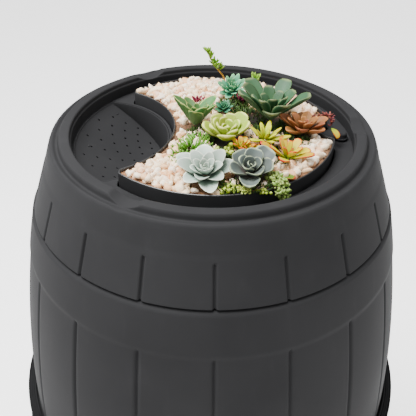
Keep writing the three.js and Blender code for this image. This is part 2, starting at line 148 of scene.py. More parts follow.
def finish(name, paint, roughness=0.5, metallic=0.0, **fixed):
    """A material. paint takes the object position and returns colour, roughness, bump height and
    bump depth in metres; None keeps the fixed value. fixed sets more of the shader's sockets."""
    material = bpy.data.materials.new(name)
    material.use_nodes = True
    tree = material.node_tree
    shader = tree.nodes["Principled BSDF"]
    shader.inputs["Roughness"].default_value = roughness
    shader.inputs["Metallic"].default_value = metallic
    for socket, value in fixed.items():
        shader.inputs[socket.replace("_", " ")].default_value = value
    place = Socket(tree, tree.nodes.new("ShaderNodeTexCoord").outputs["Object"])
    colour, rough, height, depth = paint(place)
    if isinstance(colour, Socket):
        tree.links.new(colour.output, shader.inputs["Base Color"])
    if rough is not None:
        tree.links.new(rough.output, shader.inputs["Roughness"])
    if height is not None:
        bump = place.node("ShaderNodeBump", {"Height": height, "Distance": depth, "Strength": 1.0})
        tree.links.new(bump.output, shader.inputs["Normal"])
    return material


def rgb(red, green, blue):
    """A colour given as a painter's 0 to 255 values, in linear light."""
    share = np.array([red, green, blue]) / 255
    linear = np.where(share <= 0.04045, share / 12.92, ((share + 0.055) / 1.055) ** 2.4)
    return (*linear.tolist(), 1.0)


def paint_floor(place):
    tone = place.noise(3.0).mix(rgb(250, 250, 250), rgb(255, 255, 255))
    return tone, None, place.noise(900.0), 0.0002


floor_mesh = bpy.data.meshes.new("floor")
floor_mesh.from_pydata([(-6, -6, 0), (6, -6, 0), (6, 6, 0), (-6, 6, 0)], [], [(0, 1, 2, 3)])
floor = bpy.data.objects.new("floor", floor_mesh)
floor_mesh.materials.append(finish("floor_paper", paint_floor, roughness=0.9,
                                   Emission_Color=(1.0, 1.0, 1.0, 1.0), Emission_Strength=1.5))
bpy.context.scene.collection.objects.link(floor)

# ---- Lower shell ----
# Rotationally moulded charcoal polyethylene with eighteen pressed staves, a flat base and a
# flange at the top. Its outside swells as a parabola to the belly, then comes in to the base.
belly_radius, belly_height = 0.298, 0.420
seam_radius = 0.250
joint_height = 0.457
wall = 0.0045
stave_count = 18
stave = 2 * np.pi / stave_count
joint_depth, joint_reach = 0.0030, 0.0034
flange_thickness = 0.0042
flange_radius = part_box("lower_shell")[1].x


def side(heights, inset=0.0):
    """Radius and height down the shell's outside: a parabola that is widest at the belly."""
    share = (heights - belly_height) / (seam_height - belly_height)
    return np.column_stack(
        [belly_radius - (belly_radius - seam_radius) * share**2 - inset, heights])


def rounded(corners, bends, steps=5):
    """A profile through the corners, each softened: a quadratic curve runs from a bend's length
    before the corner to the same length after it. The profile closes on itself."""
    corners = np.asarray(corners, float)
    bends = np.broadcast_to(bends, len(corners))[:, None]
    before, after = (np.roll(corners, shift, 0) - corners for shift in (1, -1))
    start = corners + before / np.linalg.norm(before, axis=1)[:, None] * bends
    end = corners + after / np.linalg.norm(after, axis=1)[:, None] * bends
    t = np.linspace(0, 1, steps)[None, :, None]
    curve = ((1 - t) ** 2 * start[:, None] + 2 * t * (1 - t) * corners[:, None]
             + t**2 * end[:, None])
    return curve.reshape(-1, 2)


def spaced(profile, gap):
    """The same profile with points added so that no span is longer than a gap."""
    steps = np.linalg.norm(np.diff(profile, axis=0), axis=1)
    travel = np.concatenate([[0], np.cumsum(steps)])
    stops = np.union1d(travel, np.arange(0, travel[-1], gap))
    return np.column_stack([np.interp(stops, travel, profile[:, k]) for k in (0, 1)])


def skin(name, grid, material, wrap_rows=True, wrap_columns=True, **attributes):
    """A mesh over a grid of points. Rows and columns may close on themselves, points that meet
    are merged, and the faces are turned outwards by the sign of the volume they hold."""
    rows, columns = grid.shape[:2]
    index = np.arange(rows * columns).reshape(rows, columns)
    low = index if wrap_rows else index[:-1]
    high = np.roll(index, -1, 0) if wrap_rows else index[1:]
    if not wrap_columns:
        low, high = low[:, :-1], high[:, :-1]
    step = lambda block: np.roll(index, -1, 1)[block // columns, block % columns]
    faces = np.stack([low, step(low), step(high), high], -1).reshape(-1, 4)
    points = grid.reshape(-1, 3)
    a, b, c, d = (points[faces[:, k]] for k in range(4))
    volume = np.einsum("ij,ij->", a, np.cross(b, c)) + np.einsum("ij,ij->", a, np.cross(c, d))
    mesh = bpy.data.meshes.new(name)
    mesh.from_pydata(points, [], (faces if volume > 0 else faces[:, ::-1]).tolist())
    for label, values in attributes.items():
        layer = mesh.attributes.new(label, "FLOAT", "POINT")
        layer.data.foreach_set("value", np.ascontiguousarray(values, np.float32).ravel())
    merged = bmesh.new()
    merged.from_mesh(mesh)
    bmesh.ops.remove_doubles(merged, verts=merged.verts, dist=2e-6)
    merged.to_mesh(mesh)
    merged.free()
    mesh.shade_smooth()
    mesh.materials.append(material)
    piece = bpy.data.objects.new(name, mesh)
    bpy.context.scene.collection.objects.link(piece)
    return piece


def stave_angles(columns):
    """Angles round from the front. Even steps t of each stave are moved to
    t - 0.85 sin(2 pi t) / 2 pi, so that they crowd at the joint lines."""
    t = np.arange(columns) / columns
    t = t - 0.85 * np.sin(2 * np.pi * t) / (2 * np.pi)
    return (np.arange(stave_count)[:, None] * stave + t * stave).ravel()


def staved(profile, pressed, columns=20):
    """A profile of radius and height turned round Z, with the joint lines pressed in: the press
    is a raised cosine of the distance round from the nearest line, times a share per point."""
    angle = stave_angles(columns)[None, :]
    radius, height = profile[:, :1], profile[:, 1:]
    off_line = np.abs((angle / stave + 0.5) % 1 - 0.5) * stave * radius
    press = 0.5 + 0.5 * np.cos(np.pi * np.clip(off_line / joint_reach, 0, 1))
    radius = radius - joint_depth * press * pressed[:, None]
    height = np.broadcast_to(height, radius.shape)
    return np.stack([radius * np.sin(angle), -radius * np.cos(angle), height], -1)


def ramp(values, start, end):
    """0 at the start, 1 at the end and a smooth S between."""
    t = np.clip((values - start) / (end - start), 0, 1)
    return t * t * (3 - 2 * t)


def moulded_plastic(name, dark, light, rough, grain=0.00006, sheen=0.02):
    """Moulded plastic: cloudy tone, a fine leather-like grain, and faint dusty streaks that run
    down the side."""
    def paint(place):
        cloud = place.noise(7.0, 4.0).over(0.3, 0.7)
        streak = place.node("ShaderNodeMapping", {"Vector": place, "Scale": (60.0, 60.0, 4.0)})
        dust = streak.noise(1.0, 5.0).over(0.55, 0.85)
        tone = (cloud * 0.6 + dust * 0.4).mix(rgb(*dark), rgb(*light))
        grit = place.noise(1400.0, 2.0)
        return tone, rough + cloud * 0.08 + grit * 0.06, grit, grain
    return finish(name, paint, Specular_IOR_Level=sheen)


charcoal = moulded_plastic("charcoal_plastic", (40, 40, 41), (48, 48, 49), 0.50)

joint_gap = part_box("upper_shell")[0].z - joint_height
flange_top = joint_height - joint_gap
flange_foot = flange_top - flange_thickness
lower_side = side(np.linspace(0.008, flange_foot, 80))
lower_inside = side(np.linspace(flange_top, 0.012, 30), wall)
lower_profile = np.concatenate([
    [[0, 0], [0.1, 0], [lower_side[0, 0] - 0.007, 0]], lower_side,
    [[flange_radius - 0.001, flange_foot], [flange_radius, flange_foot + 0.001],
     [flange_radius, flange_top - 0.001], [flange_radius - 0.001, flange_top]],
    lower_inside, [[lower_inside[-1, 0] - 0.007, 0.005], [0.1, 0.005], [0, 0.005]]])
lower_press = (ramp(lower_profile[:, 1], 0.014, 0.024)
               * (1 - ramp(lower_profile[:, 1], flange_foot - 0.022, flange_foot - 0.014)))
lower_shell = skin("lower_shell_staves", staved(lower_profile, lower_press), charcoal,
                   wrap_rows=False)
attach(lower_shell, "barrel")
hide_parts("lower_shell")

# ---- Upper shell ----
# The same moulding from the joint up to the seam. A plain band runs under the seam and stands
# slightly proud of the staves, and an inward ledge at the top carries the cover.
band_foot = seam_height - 0.060
flange_over = joint_height + joint_gap + flange_thickness
ledge_radius = seam_radius - 0.028
shell_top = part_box("upper_shell")[1].z
upper_side = side(np.linspace(flange_over, shell_top - 0.003, 110))
upper_side[:, 0] += 0.0015 * ramp(upper_side[:, 1], band_foot - 0.006, band_foot + 0.002)
upper_inside = side(np.linspace(shell_top - 0.007, joint_height + joint_gap, 36), wall)
upper_profile = np.concatenate([
    [[flange_radius - 0.001, joint_height + joint_gap],
     [flange_radius, joint_height + joint_gap + 0.001], [flange_radius, flange_over - 0.001],
     [flange_radius - 0.001, flange_over]],
    upper_side, [[seam_radius - 0.0004, shell_top - 0.0010], [seam_radius - 0.002, shell_top],
                 [ledge_radius, shell_top], [ledge_radius, shell_top - 0.005]],
    upper_inside])
upper_press = (ramp(upper_profile[:, 1], flange_over + 0.008, flange_over + 0.018)
               * (1 - ramp(upper_profile[:, 1], band_foot - 0.007, band_foot - 0.002)))
upper_shell = skin("upper_shell_staves", staved(upper_profile, upper_press), charcoal)
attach(upper_shell, "barrel")
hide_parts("upper_shell")

# ---- Joint gasket and joint hoop ----
# A rubber gasket lies between the two flanges. A rolled plastic channel hoop with four fine
# ridges closes over both, and a bolt through two ears at the back draws it tight.


def turned(profile, columns=288, first=0.0, last=2 * np.pi):
    """A profile of radius and height turned round Z from one angle to another; short of a whole
    turn, the ends are closed by a fan to the middle of the section."""
    whole = last - first > 2 * np.pi - 1e-6
    angle = np.linspace(first, last, columns, endpoint=not whole)
    radius, height = profile[:, :1], profile[:, 1:]
    grid = np.stack([radius * np.sin(angle), -radius * np.cos(angle),
                     np.broadcast_to(height, (len(profile), columns))], -1)
    if whole:
        return grid
    ends = [np.broadcast_to(grid[:, k].mean(0), grid[:, k].shape)[:, None] for k in (0, -1)]
    return np.concatenate([ends[0], grid, ends[1]], 1)


def ridged(inner, outer, foot, top, drop, ridges=4):
    """A hoop's section: its top steps down and outwards in round ridges."""
    share = np.linspace(0, 1, ridges * 8 + 1)
    crest = 0.0011 * np.abs(np.sin(np.pi * ridges * share)) ** 0.7
    height = top - 0.0015 - drop * share + crest
    over = np.column_stack([inner + (outer - inner) * share, height])
    return np.concatenate([[[inner, foot]], over, [[outer, foot + 0.003]],
                           [[outer - 0.002, foot + 0.0006], [outer - 0.004, foot]]])


dark_rib = moulded_plastic("dark_ribbed_plastic", (26, 26, 27), (32, 32, 33), 0.42)

hoop_low, hoop_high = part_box("joint_hoop")[0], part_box("joint_hoop")[1]
hoop_gap = 0.002
hoop_inner = side(np.array([joint_height]))[0, 0] + hoop_gap
hoop_outer = -hoop_low.y
channel_radius = flange_radius + hoop_gap
channel_half = flange_over - joint_height + 0.0004
section = ridged(hoop_inner, hoop_outer, hoop_low.z, hoop_high.z, 0.007)
section = np.concatenate([
    section, [[hoop_inner, hoop_low.z]], [[hoop_inner, joint_height - channel_half],
    [channel_radius, joint_height - channel_half], [channel_radius, joint_height + channel_half],
    [hoop_inner, joint_height + channel_half]]])
split_angle = 0.007 / hoop_outer
band = skin("joint_hoop_band",
            turned(section, 288, np.pi + split_angle, 3 * np.pi - split_angle), dark_rib,
            wrap_columns=False)


def block(name, low, high, soft, material):
    """A block between two corners. Each face is a grid whose points are pushed out from the
    middle onto a superellipsoid, so that edges and corners are round by about the soft length."""
    low, high = np.array(low), np.array(high)
    middle, half = (low + high) / 2, (high - low) / 2
    latitude = np.linspace(-np.pi / 2, np.pi / 2, 25)[:, None]
    longitude = np.linspace(0, 2 * np.pi, 48, endpoint=False)[None, :]
    across = np.cos(latitude)
    direction = np.stack([across * np.cos(longitude), across * np.sin(longitude),
                          np.sin(latitude) * np.ones_like(longitude)], -1)
    core = half - soft
    stretch = np.min(half / np.maximum(np.abs(direction), 1e-9), -1, keepdims=True)
    inner = np.clip(direction * stretch, -core, core)
    away = direction * stretch - inner
    length = np.maximum(np.linalg.norm(away, axis=-1, keepdims=True), 1e-9)
    grid = middle + inner + away / length * np.minimum(length, soft)
    return skin(name, grid, material, wrap_rows=False)


ear_thickness, ear_reach = 0.006, 0.026
ears = [block(f"joint_hoop_ear_{word}", (low, hoop_outer - 0.003, joint_height - 0.008),
              (low + ear_thickness, hoop_outer - 0.003 + ear_reach, joint_height + 0.008),
              0.0016, dark_rib)
        for word, low in (("left", -0.013), ("right", 0.007))]
for piece in (band, *ears):
    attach(piece, "barrel")
    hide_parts("joint_hoop")

gasket_low, gasket_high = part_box("joint_gasket")
gasket_section = rounded([[gasket_high.x - 0.01, gasket_low.z], [gasket_high.x, gasket_low.z],
                          [gasket_high.x, gasket_high.z], [gasket_high.x - 0.01, gasket_high.z]],
                         0.0006, 4)


def paint_rubber(place):
    bloom = place.noise(60.0, 5.0).over(0.35, 0.75)
    return bloom.mix(rgb(24, 24, 25), rgb(40, 40, 41)), 0.7 + bloom * 0.15, place.noise(900.0), 8e-5


rubber = finish("rubber", paint_rubber, roughness=0.8)
gasket = skin("joint_gasket_ring", turned(gasket_section, 192), rubber)
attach(gasket, "barrel")
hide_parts("joint_gasket")

# ---- Hoop bolt and nut ----
# A zinc-plated hexagon bolt and nut through the two ears. The plating is slightly cloudy.


def paint_steel(place):
    cloud = place.noise(160.0, 4.0)
    brushed = place.node("ShaderNodeMapping", {"Vector": place, "Scale": (400.0, 2500.0, 2500.0)})
    return (cloud.mix(rgb(150, 153, 158), rgb(196, 198, 201)), 0.24 + cloud * 0.2,
            brushed.noise(1.0, 2.0), 2e-5)


def carried(node, material):
    """Gives a carried-over node its material in place of the plain one."""
    piece = bpy.data.objects[node]
    piece.data.materials.clear()
    piece.data.materials.append(material)


steel = finish("steel", paint_steel, metallic=1.0)
carried("hoop_bolt", steel)
carried("hoop_nut", steel)

# ---- Lower hoop ----
# A second hoop of the same rolled plastic is pressed up from below onto the lower shell. It has
# no split; the swell of the staves holds it.
low_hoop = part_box("lower_hoop")
lower_section = ridged(belly_radius + 0.0006, low_hoop[1].x, low_hoop[0].z, low_hoop[1].z, 0.007)
lower_hoop = skin("lower_hoop_band", turned(lower_section, 288), dark_rib)
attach(lower_hoop, "barrel")
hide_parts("lower_hoop")

# ---- Cover seal and top cover ----
# A soft ring seals the cover to the ledge. The cover is one moulding: a staved side that leans
# in, a rounded shoulder, a drain groove, a flat rim with three overflow notches, and a deck with
# openings for the dish and the planter.
seal_low, seal_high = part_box("cover_seal")
seal_inner = seal_high.x - 0.015
seal_section = rounded([[seal_inner, seal_low.z], [seal_high.x, seal_low.z],
                        [seal_high.x, seal_high.z], [seal_inner, seal_high.z]], 0.0007, 4)
cover_seal = skin("cover_seal_ring", turned(seal_section, 192), rubber)
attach(cover_seal, "barrel")
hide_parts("cover_seal")

cover_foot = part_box("top_cover")[1].x
foot_height = seam_height + 0.0023
shoulder_radius = cover_foot - 0.019
rim_outer, rim_inner = shoulder_radius - 0.027, shoulder_radius - 0.040
deck_height, deck_thickness = rim_height - 0.022, 0.005
side_top = seam_height + 0.057
ledge_drop, ledge_width = 0.0062, 0.0014

shoulder = np.array([
    [shoulder_radius, side_top], [shoulder_radius - 0.0028, side_top + 0.0065],
    [shoulder_radius - 0.0055, side_top + 0.015], [shoulder_radius - 0.0080, side_top + 0.023],
    [rim_outer + 0.0165, rim_height - 0.0145], [rim_outer + 0.0140, rim_height - 0.0086],
    [rim_outer + 0.0115, rim_height - 0.0064], [rim_outer + 0.0090, rim_height - 0.0068],
    [rim_outer + 0.0062, rim_height - 0.0088], [rim_outer + 0.0034, rim_height - 0.0084],
    [rim_outer + 0.0018, rim_height - 0.0030], [rim_outer + 0.0002, rim_height - 0.0003],
    [rim_outer - 0.0020, rim_height], [rim_inner + 0.0016, rim_height],
    [rim_inner + 0.0002, rim_height - 0.0014], [rim_inner, rim_height - ledge_drop],
    [rim_inner - ledge_width, rim_height - ledge_drop - 0.0006],
    [rim_inner - ledge_width, deck_height - deck_thickness]])


def softened(points, gap=0.0012, passes=3):
    """Points spaced evenly along a profile and averaged with their neighbours a few times, which
    rounds every corner by about the gap."""
    line = spaced(points, gap)
    for _ in range(passes):
        line = np.concatenate([line[:1], (line[:-2] + 2 * line[1:-1] + line[2:]) / 4, line[-1:]])
    return line


cover_side = np.column_stack([np.linspace(cover_foot, shoulder_radius, 26),
                              np.linspace(foot_height, side_top, 26)])
hidden = np.array([
    [rim_inner + 0.004, deck_height - deck_thickness], [rim_inner + 0.004, rim_height - 0.012],
    [rim_outer + 0.009, rim_height - 0.012], [rim_outer + 0.0135, rim_height - 0.019],
    [shoulder_radius - 0.005, side_top - 0.001], [cover_foot - 0.0045, foot_height + 0.004],
    [ledge_radius - 0.0055, foot_height + 0.004], [ledge_radius - 0.0055, seam_height - 0.018],
    [ledge_radius - 0.0015, seam_height - 0.018], [ledge_radius - 0.0015, foot_height],
    [cover_foot - 0.0008, foot_height]])
cover_line = np.concatenate([softened(np.concatenate([cover_side, shoulder[1:]])), hidden])
cover_press = 1 - ramp(cover_line[:, 1], side_top - 0.006, side_top - 0.001)
cover_press[len(cover_line) - len(hidden):] = 0
cover_press[-1] = 1
cover_grid = staved(cover_line, cover_press, columns=44)

notch_count, notch_width, notch_depth = 3, 0.045, 0.008
notch_radius = (notch_width**2 / 4 + notch_depth**2) / (2 * notch_depth)


def notched(grid, soft=0.0012):
    """Lowers a cover's points under three round channels that cross the rim. The lower of the
    two heights is taken smoothly: h = clip(0.5 + (b - a) / 2k), a h + b (1 - h) - k h (1 - h)."""
    x, y, z = grid[..., 0], grid[..., 1], grid[..., 2]
    for turn in np.arange(notch_count) * 2 * np.pi / notch_count:
        along = x * np.cos(turn) + y * np.sin(turn)
        across = y * np.cos(turn) - x * np.sin(turn)
        reach = np.clip(notch_radius**2 - across**2, 0, None)
        channel = rim_height - notch_depth + notch_radius - np.sqrt(reach)
        channel = np.where((along > 0) & (reach > 0), channel, 9.0)
        near = (z > deck_height + 0.004) & (channel < z + soft)
        share = np.clip(0.5 + 0.5 * (channel - z) / soft, 0, 1)
        z = np.where(near, z * share + channel * (1 - share) - soft * share * (1 - share), z)
    return np.stack([x, y, z], -1)


outside = len(cover_line) - len(hidden)
cover_grid[:outside] = notched(np.where(np.isfinite(cover_grid[:outside]), cover_grid[:outside], 0))
cover_shell = skin("top_cover_side", cover_grid, charcoal)


def arc(centre_x, radius, first, last, count):
    """Points of an arc about a centre on the X axis, with the last point left off."""
    angle = np.linspace(first, last, count, endpoint=False)
    return np.column_stack([centre_x + radius * np.cos(angle), radius * np.sin(angle)])


def eased(loop, passes=4):
    """A closed outline whose points are averaged with their neighbours, to round the corners."""
    for _ in range(passes):
        loop = (np.roll(loop, 1, 0) + 2 * loop + np.roll(loop, -1, 0)) / 4
    return loop


tray_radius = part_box("planter_tray")[1].y
bite_x = 0.016 - rim_inner
dish_radius, bite_radius = 0.115, 0.121
scallop_x, scallop_radius = rim_inner - 0.020, 0.030
tip_x = (tray_radius**2 - bite_radius**2 + bite_x**2) / (2 * bite_x) + 0.006


def crescent(grow=0.0):
    """The planter's outline, grown all round: a circle, less a bite for the dish and a scallop
    for the plug, with its two tips cut off square. Every growth has the same number of points."""
    outer, bite, scallop = tray_radius + grow, bite_radius - grow, scallop_radius - grow
    tip = tip_x - grow
    corner = np.arccos((outer**2 + scallop_x**2 - scallop**2) / (2 * outer * scallop_x))
    inward = np.arctan2(outer * np.sin(corner), outer * np.cos(corner) - scallop_x)
    end = np.arccos(tip / outer)
    bite_y = np.sqrt(bite**2 - (tip - bite_x) ** 2)
    open_angle = np.arctan2(bite_y, tip - bite_x)
    edge = np.linspace(outer * np.sin(end), bite_y, 12, endpoint=False)
    loop = np.concatenate([
        arc(0, outer, -end, -corner, 260), arc(scallop_x, scallop, 2 * np.pi - inward, inward, 56),
        arc(0, outer, corner, end, 260), np.column_stack([np.full(12, tip), edge]),
        arc(bite_x, bite, open_angle, -open_angle, 210),
        np.column_stack([np.full(12, tip), -edge[::-1]])])
    return eased(loop)


def lens_outline(inset=0.0):
    """The dish's outline, moved in all round: its own circle crossed with one inside the rim."""
    near, far = dish_radius - inset, rim_inner - 0.002 - inset
    tip = -(far**2 - near**2 + bite_x**2) / (2 * -bite_x)
    height = np.sqrt(far**2 - tip**2)
    open_angle, wide_angle = np.arctan2(height, tip - bite_x), np.arctan2(height, tip)
    return eased(np.concatenate([arc(bite_x, near, -open_angle, open_angle, 200),
                                 arc(0, far, wide_angle, 2 * np.pi - wide_angle, 200)]))


def rings(*levels):
    """Closed outlines, each with its height, stacked as the rows of a grid."""
    return np.stack([np.column_stack([loop, np.full(len(loop), height)])
                     for loop, height in levels])


def capped(name, grid, material, *open_ends):
    """A tube of rings with a flat face across its first and its last ring."""
    piece = skin(name, grid, material, wrap_rows=False)
    work = bmesh.new()
    work.from_mesh(piece.data)
    made = bmesh.ops.holes_fill(work, edges=[edge for edge in work.edges if edge.is_boundary])
    for face in made["faces"]:
        face.smooth = False
    bmesh.ops.recalc_face_normals(work, faces=work.faces)
    work.to_mesh(piece.data)
    work.free()
    return piece


def carved(piece, tools, crisp=0.5):
    """The piece with closed tools cut out of it. The tools are removed afterwards."""
    for tool in tools:
        cut = piece.modifiers.new("cut", "BOOLEAN")
        cut.operation, cut.solver, cut.object = "DIFFERENCE", "EXACT", tool
    graph = bpy.context.evaluated_depsgraph_get()
    plain = piece.data
    piece.data = bpy.data.meshes.new_from_object(piece.evaluated_get(graph))
    piece.data.name = piece.name
    piece.modifiers.clear()
    bpy.data.meshes.remove(plain)
    for tool in tools:
        bpy.data.meshes.remove(tool.data)
    piece.data.shade_smooth()
    piece.data.set_sharp_from_angle(angle=crisp)
    return piece


def pins(name, places, radius, low, high, sides=12):
    """Upright round bars at places on the floor plan, all in one mesh."""
    angle = np.linspace(0, 2 * np.pi, sides, endpoint=False)
    circle = np.column_stack([np.cos(angle), np.sin(angle)]) * radius
    flat = np.asarray(places)[:, None] + circle
    points = np.concatenate([np.dstack([flat, np.full(flat.shape[:2], level)])
                             for level in (low, high)], 1)
    ring = np.arange(sides)
    wall = np.column_stack([ring, np.roll(ring, -1), np.roll(ring, -1) + sides, ring + sides])
    starts = np.arange(len(flat))[:, None] * 2 * sides
    walls = (starts[:, :, None] + wall).reshape(-1, 4).tolist()
    caps = (starts + ring[::-1]).tolist() + (starts + sides + ring).tolist()
    mesh = bpy.data.meshes.new(name)
    mesh.from_pydata(points.reshape(-1, 3), [], walls + caps)
    piece = bpy.data.objects.new(name, mesh)
    bpy.context.scene.collection.objects.link(piece)
    return piece


deck_low = deck_height - deck_thickness
lip_width, plug_x = 0.002, rim_inner - 0.015
full_turn = arc(0, rim_inner + 0.001, 0, 2 * np.pi, 360)
deck = capped("top_cover_deck", rings((full_turn, deck_low), (full_turn, deck_height)), charcoal)
deck = carved(deck, [
    capped("cut_well", rings((crescent(0.0025), deck_low - 0.01), (crescent(0.0025), 1.0)),
           charcoal),
    capped("cut_dish", rings((lens_outline(lip_width), deck_low - 0.01),
                             (lens_outline(lip_width), deck_height - 0.0028),
                             (lens_outline(), deck_height - 0.0028), (lens_outline(), 1.0)),
           charcoal),
    pins("cut_port", [(plug_x, 0)], 0.0049, deck_low - 0.01, 1.0, 24)])

tray_low, tray_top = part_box("planter_tray")[0].z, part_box("planter_tray")[1].z
well_floor = tray_low - 0.0003
well_wall, well_gap = 0.003, 0.002
drains = np.array([[-0.12, 0.68], [-0.12, -0.68], [0.37, 0.55], [0.37, -0.55], [0.67, 0.28],
                   [0.67, -0.28], [0.1, 0]]) * tray_radius
gap, wide = crescent(well_gap), crescent(well_gap + well_wall)
well = capped("top_cover_well", rings(
    (crescent(well_gap - 0.002), well_floor), (gap, well_floor + 0.002),
    (gap, deck_height - 0.0004), (crescent(well_gap + 0.0006), deck_height + 0.0003),
    (crescent(well_gap + 0.0013), deck_height + 0.0001), (wide, deck_height - 0.002),
    (wide, well_floor), (crescent(well_gap + 0.001), well_floor - well_wall)), charcoal)
well = carved(well, [pins("cut_drains", drains, 0.005, well_floor - 0.01, well_floor + 0.01, 16)])
for piece in (cover_shell, deck, well):
    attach(piece, "cover")
    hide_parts("top_cover")

# ---- Strainer dish ----
# The dish is a moulding in the cover's plastic, cut from one wide bowl about the barrel's axis:
# shallow at the rim and deep beside the planter. Its holes lie on arcs and spokes.
bowl_depth = 0.062
bowl_floor = deck_height - bowl_depth
bowl_reach = rim_inner - 0.002
bowl_radius = (bowl_reach**2 + bowl_depth**2) / (2 * bowl_depth)
dish_middle = np.array([(bite_x + dish_radius - bowl_reach) / 2, 0.0])


def bowl(outline, drop=0.0):
    """Points over an outline on the bowl, or on the same bowl dropped by a thickness."""
    ball = bowl_radius + drop
    reach = np.sqrt(ball**2 - np.minimum(np.sum(outline**2, -1), (ball * 0.9) ** 2))
    return np.column_stack([outline, bowl_floor + bowl_radius - reach])


def level(outline, height):
    return np.column_stack([outline, np.full(len(outline), height)])


rest = lens_outline(0.0004)
edge_in, wall_out = lens_outline(0.0032), lens_outline(0.0024)
shares = np.linspace(1, 0, 26)[:, None, None]
dish_top = [bowl(dish_middle + (edge_in - dish_middle) * share) for share in shares[:, 0]]
dish_under = [bowl(dish_middle + (wall_out - dish_middle) * share, 0.0026)
              for share in shares[::-1, 0]]
dish_rows = [level(wall_out, deck_height - 0.0026), level(rest, deck_height - 0.0026),
             level(rest, deck_height - 0.0005), level(lens_outline(0.0009), deck_height),
             level(lens_outline(0.0022), deck_height - 0.0001)]
settle = np.minimum(dish_top[0][:, 2], deck_height - 0.0012)
dish_rows.append(np.column_stack([lens_outline(0.0030), np.maximum(settle, deck_height - 0.0022)]))
dish_top[0][:, 2] = np.minimum(dish_top[0][:, 2], deck_height - 0.0024)
dish_under[-1][:, 2] = np.minimum(dish_under[-1][:, 2], deck_height - 0.0027)
dish = skin("strainer_dish_bowl", np.stack([*dish_rows, *dish_top, *dish_under]), charcoal)

arcs, spokes = np.meshgrid(np.arange(9), np.arange(-4, 12))
hole_radius = (0.2016 - 0.0181 * arcs).ravel()
hole_turn = (np.pi + (spokes - 0.44) * np.radians(6.84)).ravel()
holes = np.column_stack([hole_radius * np.cos(hole_turn), 0.078 + hole_radius * np.sin(hole_turn)])
hole_edge = 0.009
bosses = np.array([[-0.173, 0], [-0.074, 0], [-0.14426, 0.09548], [-0.14426, -0.09548]])
clear = np.linalg.norm(holes[:, None] - bosses, axis=-1).min(1) > 0.006
inside = ((np.hypot(holes[:, 0] - bite_x, holes[:, 1]) < dish_radius - hole_edge)
          & (np.hypot(*holes.T) < bowl_reach - hole_edge))
dish = carved(dish, [pins("cut_holes", holes[clear & inside], 0.0016, 0.8, 1.0, 10)])
boss_foot = bowl_floor - 0.004 + 0.0003
boss_pins = []
for word, place in zip(("rim", "inner", "back", "front"), bosses):
    top = bowl(place[None])[0, 2] - 0.001
    profile = rounded([[0.0014, boss_foot], [0.0035, boss_foot], [0.0035, top], [0.0014, top]],
                      0.0003, 3)
    grid = turned(profile, 24)
    grid[..., :2] += place
    boss_pins.append(skin(f"strainer_dish_boss_{word}", grid, charcoal))
for piece in (dish, *boss_pins):
    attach(piece, "strainer")
    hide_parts("strainer_dish")

# ---- Insect screen ----
# A pressed frame holds fine stainless mesh under the dish, with four small screws. All of it is
# hidden in use.
mesh_weave = finish("insect_mesh", paint_steel, metallic=1.0, roughness=0.4)
frame_plastic = moulded_plastic("screen_frame_plastic", (38, 39, 41), (46, 47, 49), 0.5)
carried("screen_frame", frame_plastic)
carried("insect_mesh", mesh_weave)
for number in range(1, 5):
    carried(f"screen_screw_{number}", steel)

# ---- Planter tray ----
# A deep tray of smooth near-black plastic drops into the cover's well. Its lip is rounded and it
# stands above the deck all round; seven holes drain it.


def paint_tray(place):
    cloud = place.noise(9.0, 3.0)
    dust = place.noise(240.0, 4.0).over(0.6, 0.9)
    tone = (cloud * 0.5 + dust * 0.3).mix(rgb(30, 30, 31), rgb(42, 42, 43))
    return tone, 0.30 + cloud * 0.12 + dust * 0.1, place.noise(1500.0, 1.0), 2e-5


tray_black = finish("tray_black", paint_tray)
tray_wall, tray_floor = 0.003, 0.004
inner, outer = crescent(-tray_wall), crescent(0)
tray = capped("planter_tray_moulding", rings(
    (crescent(-0.002), tray_low), (outer, tray_low + 0.002), (outer, tray_top - 0.0016),
    (crescent(-0.0005), tray_top - 0.0004), (crescent(-0.0013), tray_top),
    (crescent(-0.0022), tray_top - 0.0003), (crescent(-0.0028), tray_top - 0.0014),
    (inner, tray_top - 0.003), (inner, tray_low + tray_floor + 0.002),
    (crescent(-tray_wall - 0.002), tray_low + tray_floor)), tray_black)
tray = carved(tray, [pins("cut_tray_drains", drains, 0.004, tray_low - 0.01, tray_low + 0.01, 16)])
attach(tray, "planter")
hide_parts("planter_tray")

# ---- Soil and gravel ----
# Dark potting soil fills the tray. Washed marble chips of six to twelve millimetres, cream, white
# and pink, lie over a bed of brown grit wherever no plant grows.


def paint_soil(place):
    clod = place.noise(90.0, 6.0)
    return clod.mix(rgb(38, 28, 20), rgb(92, 72, 54)), 0.9 + clod * 0.05, clod, 0.002


planting_middle = (0.045, -0.04)
# Near the planting's middle the bed is painted dark: soil, and painted shade under the crowding
# leaves.
soil_and_shade_colour, grit_colour, warm_grit = rgb(40, 34, 24), rgb(128, 92, 62), rgb(156, 108, 70)


def paint_grit(place):
    """Dark soil with painted shade near the planting's middle, where leaves crowd; outside it,
    brown grit with warmer patches.
    """
    grain = place.noise(320.0, 5.0)
    warm = place.noise(25.0).over(0.35, 0.65)
    away = place.node("ShaderNodeVectorMath", {0: place, 1: (*planting_middle, gravel_top)},
                      out=1, operation="DISTANCE")
    shade = away.over(0.075, 0.105).mix(soil_and_shade_colour, warm.mix(grit_colour, warm_grit))
    lit = grain.over(0.3, 0.7) * 0.7 + 0.3
    return lit.mix(rgb(20, 16, 12), shade), 0.85 + grain * 0.1, grain, 0.0012


gravel_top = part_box("gravel_layer")[1].z
carried("potting_soil", finish("soil", paint_soil, roughness=0.95))
carried("gravel_layer", finish("gravel_bed", paint_grit, roughness=0.9))


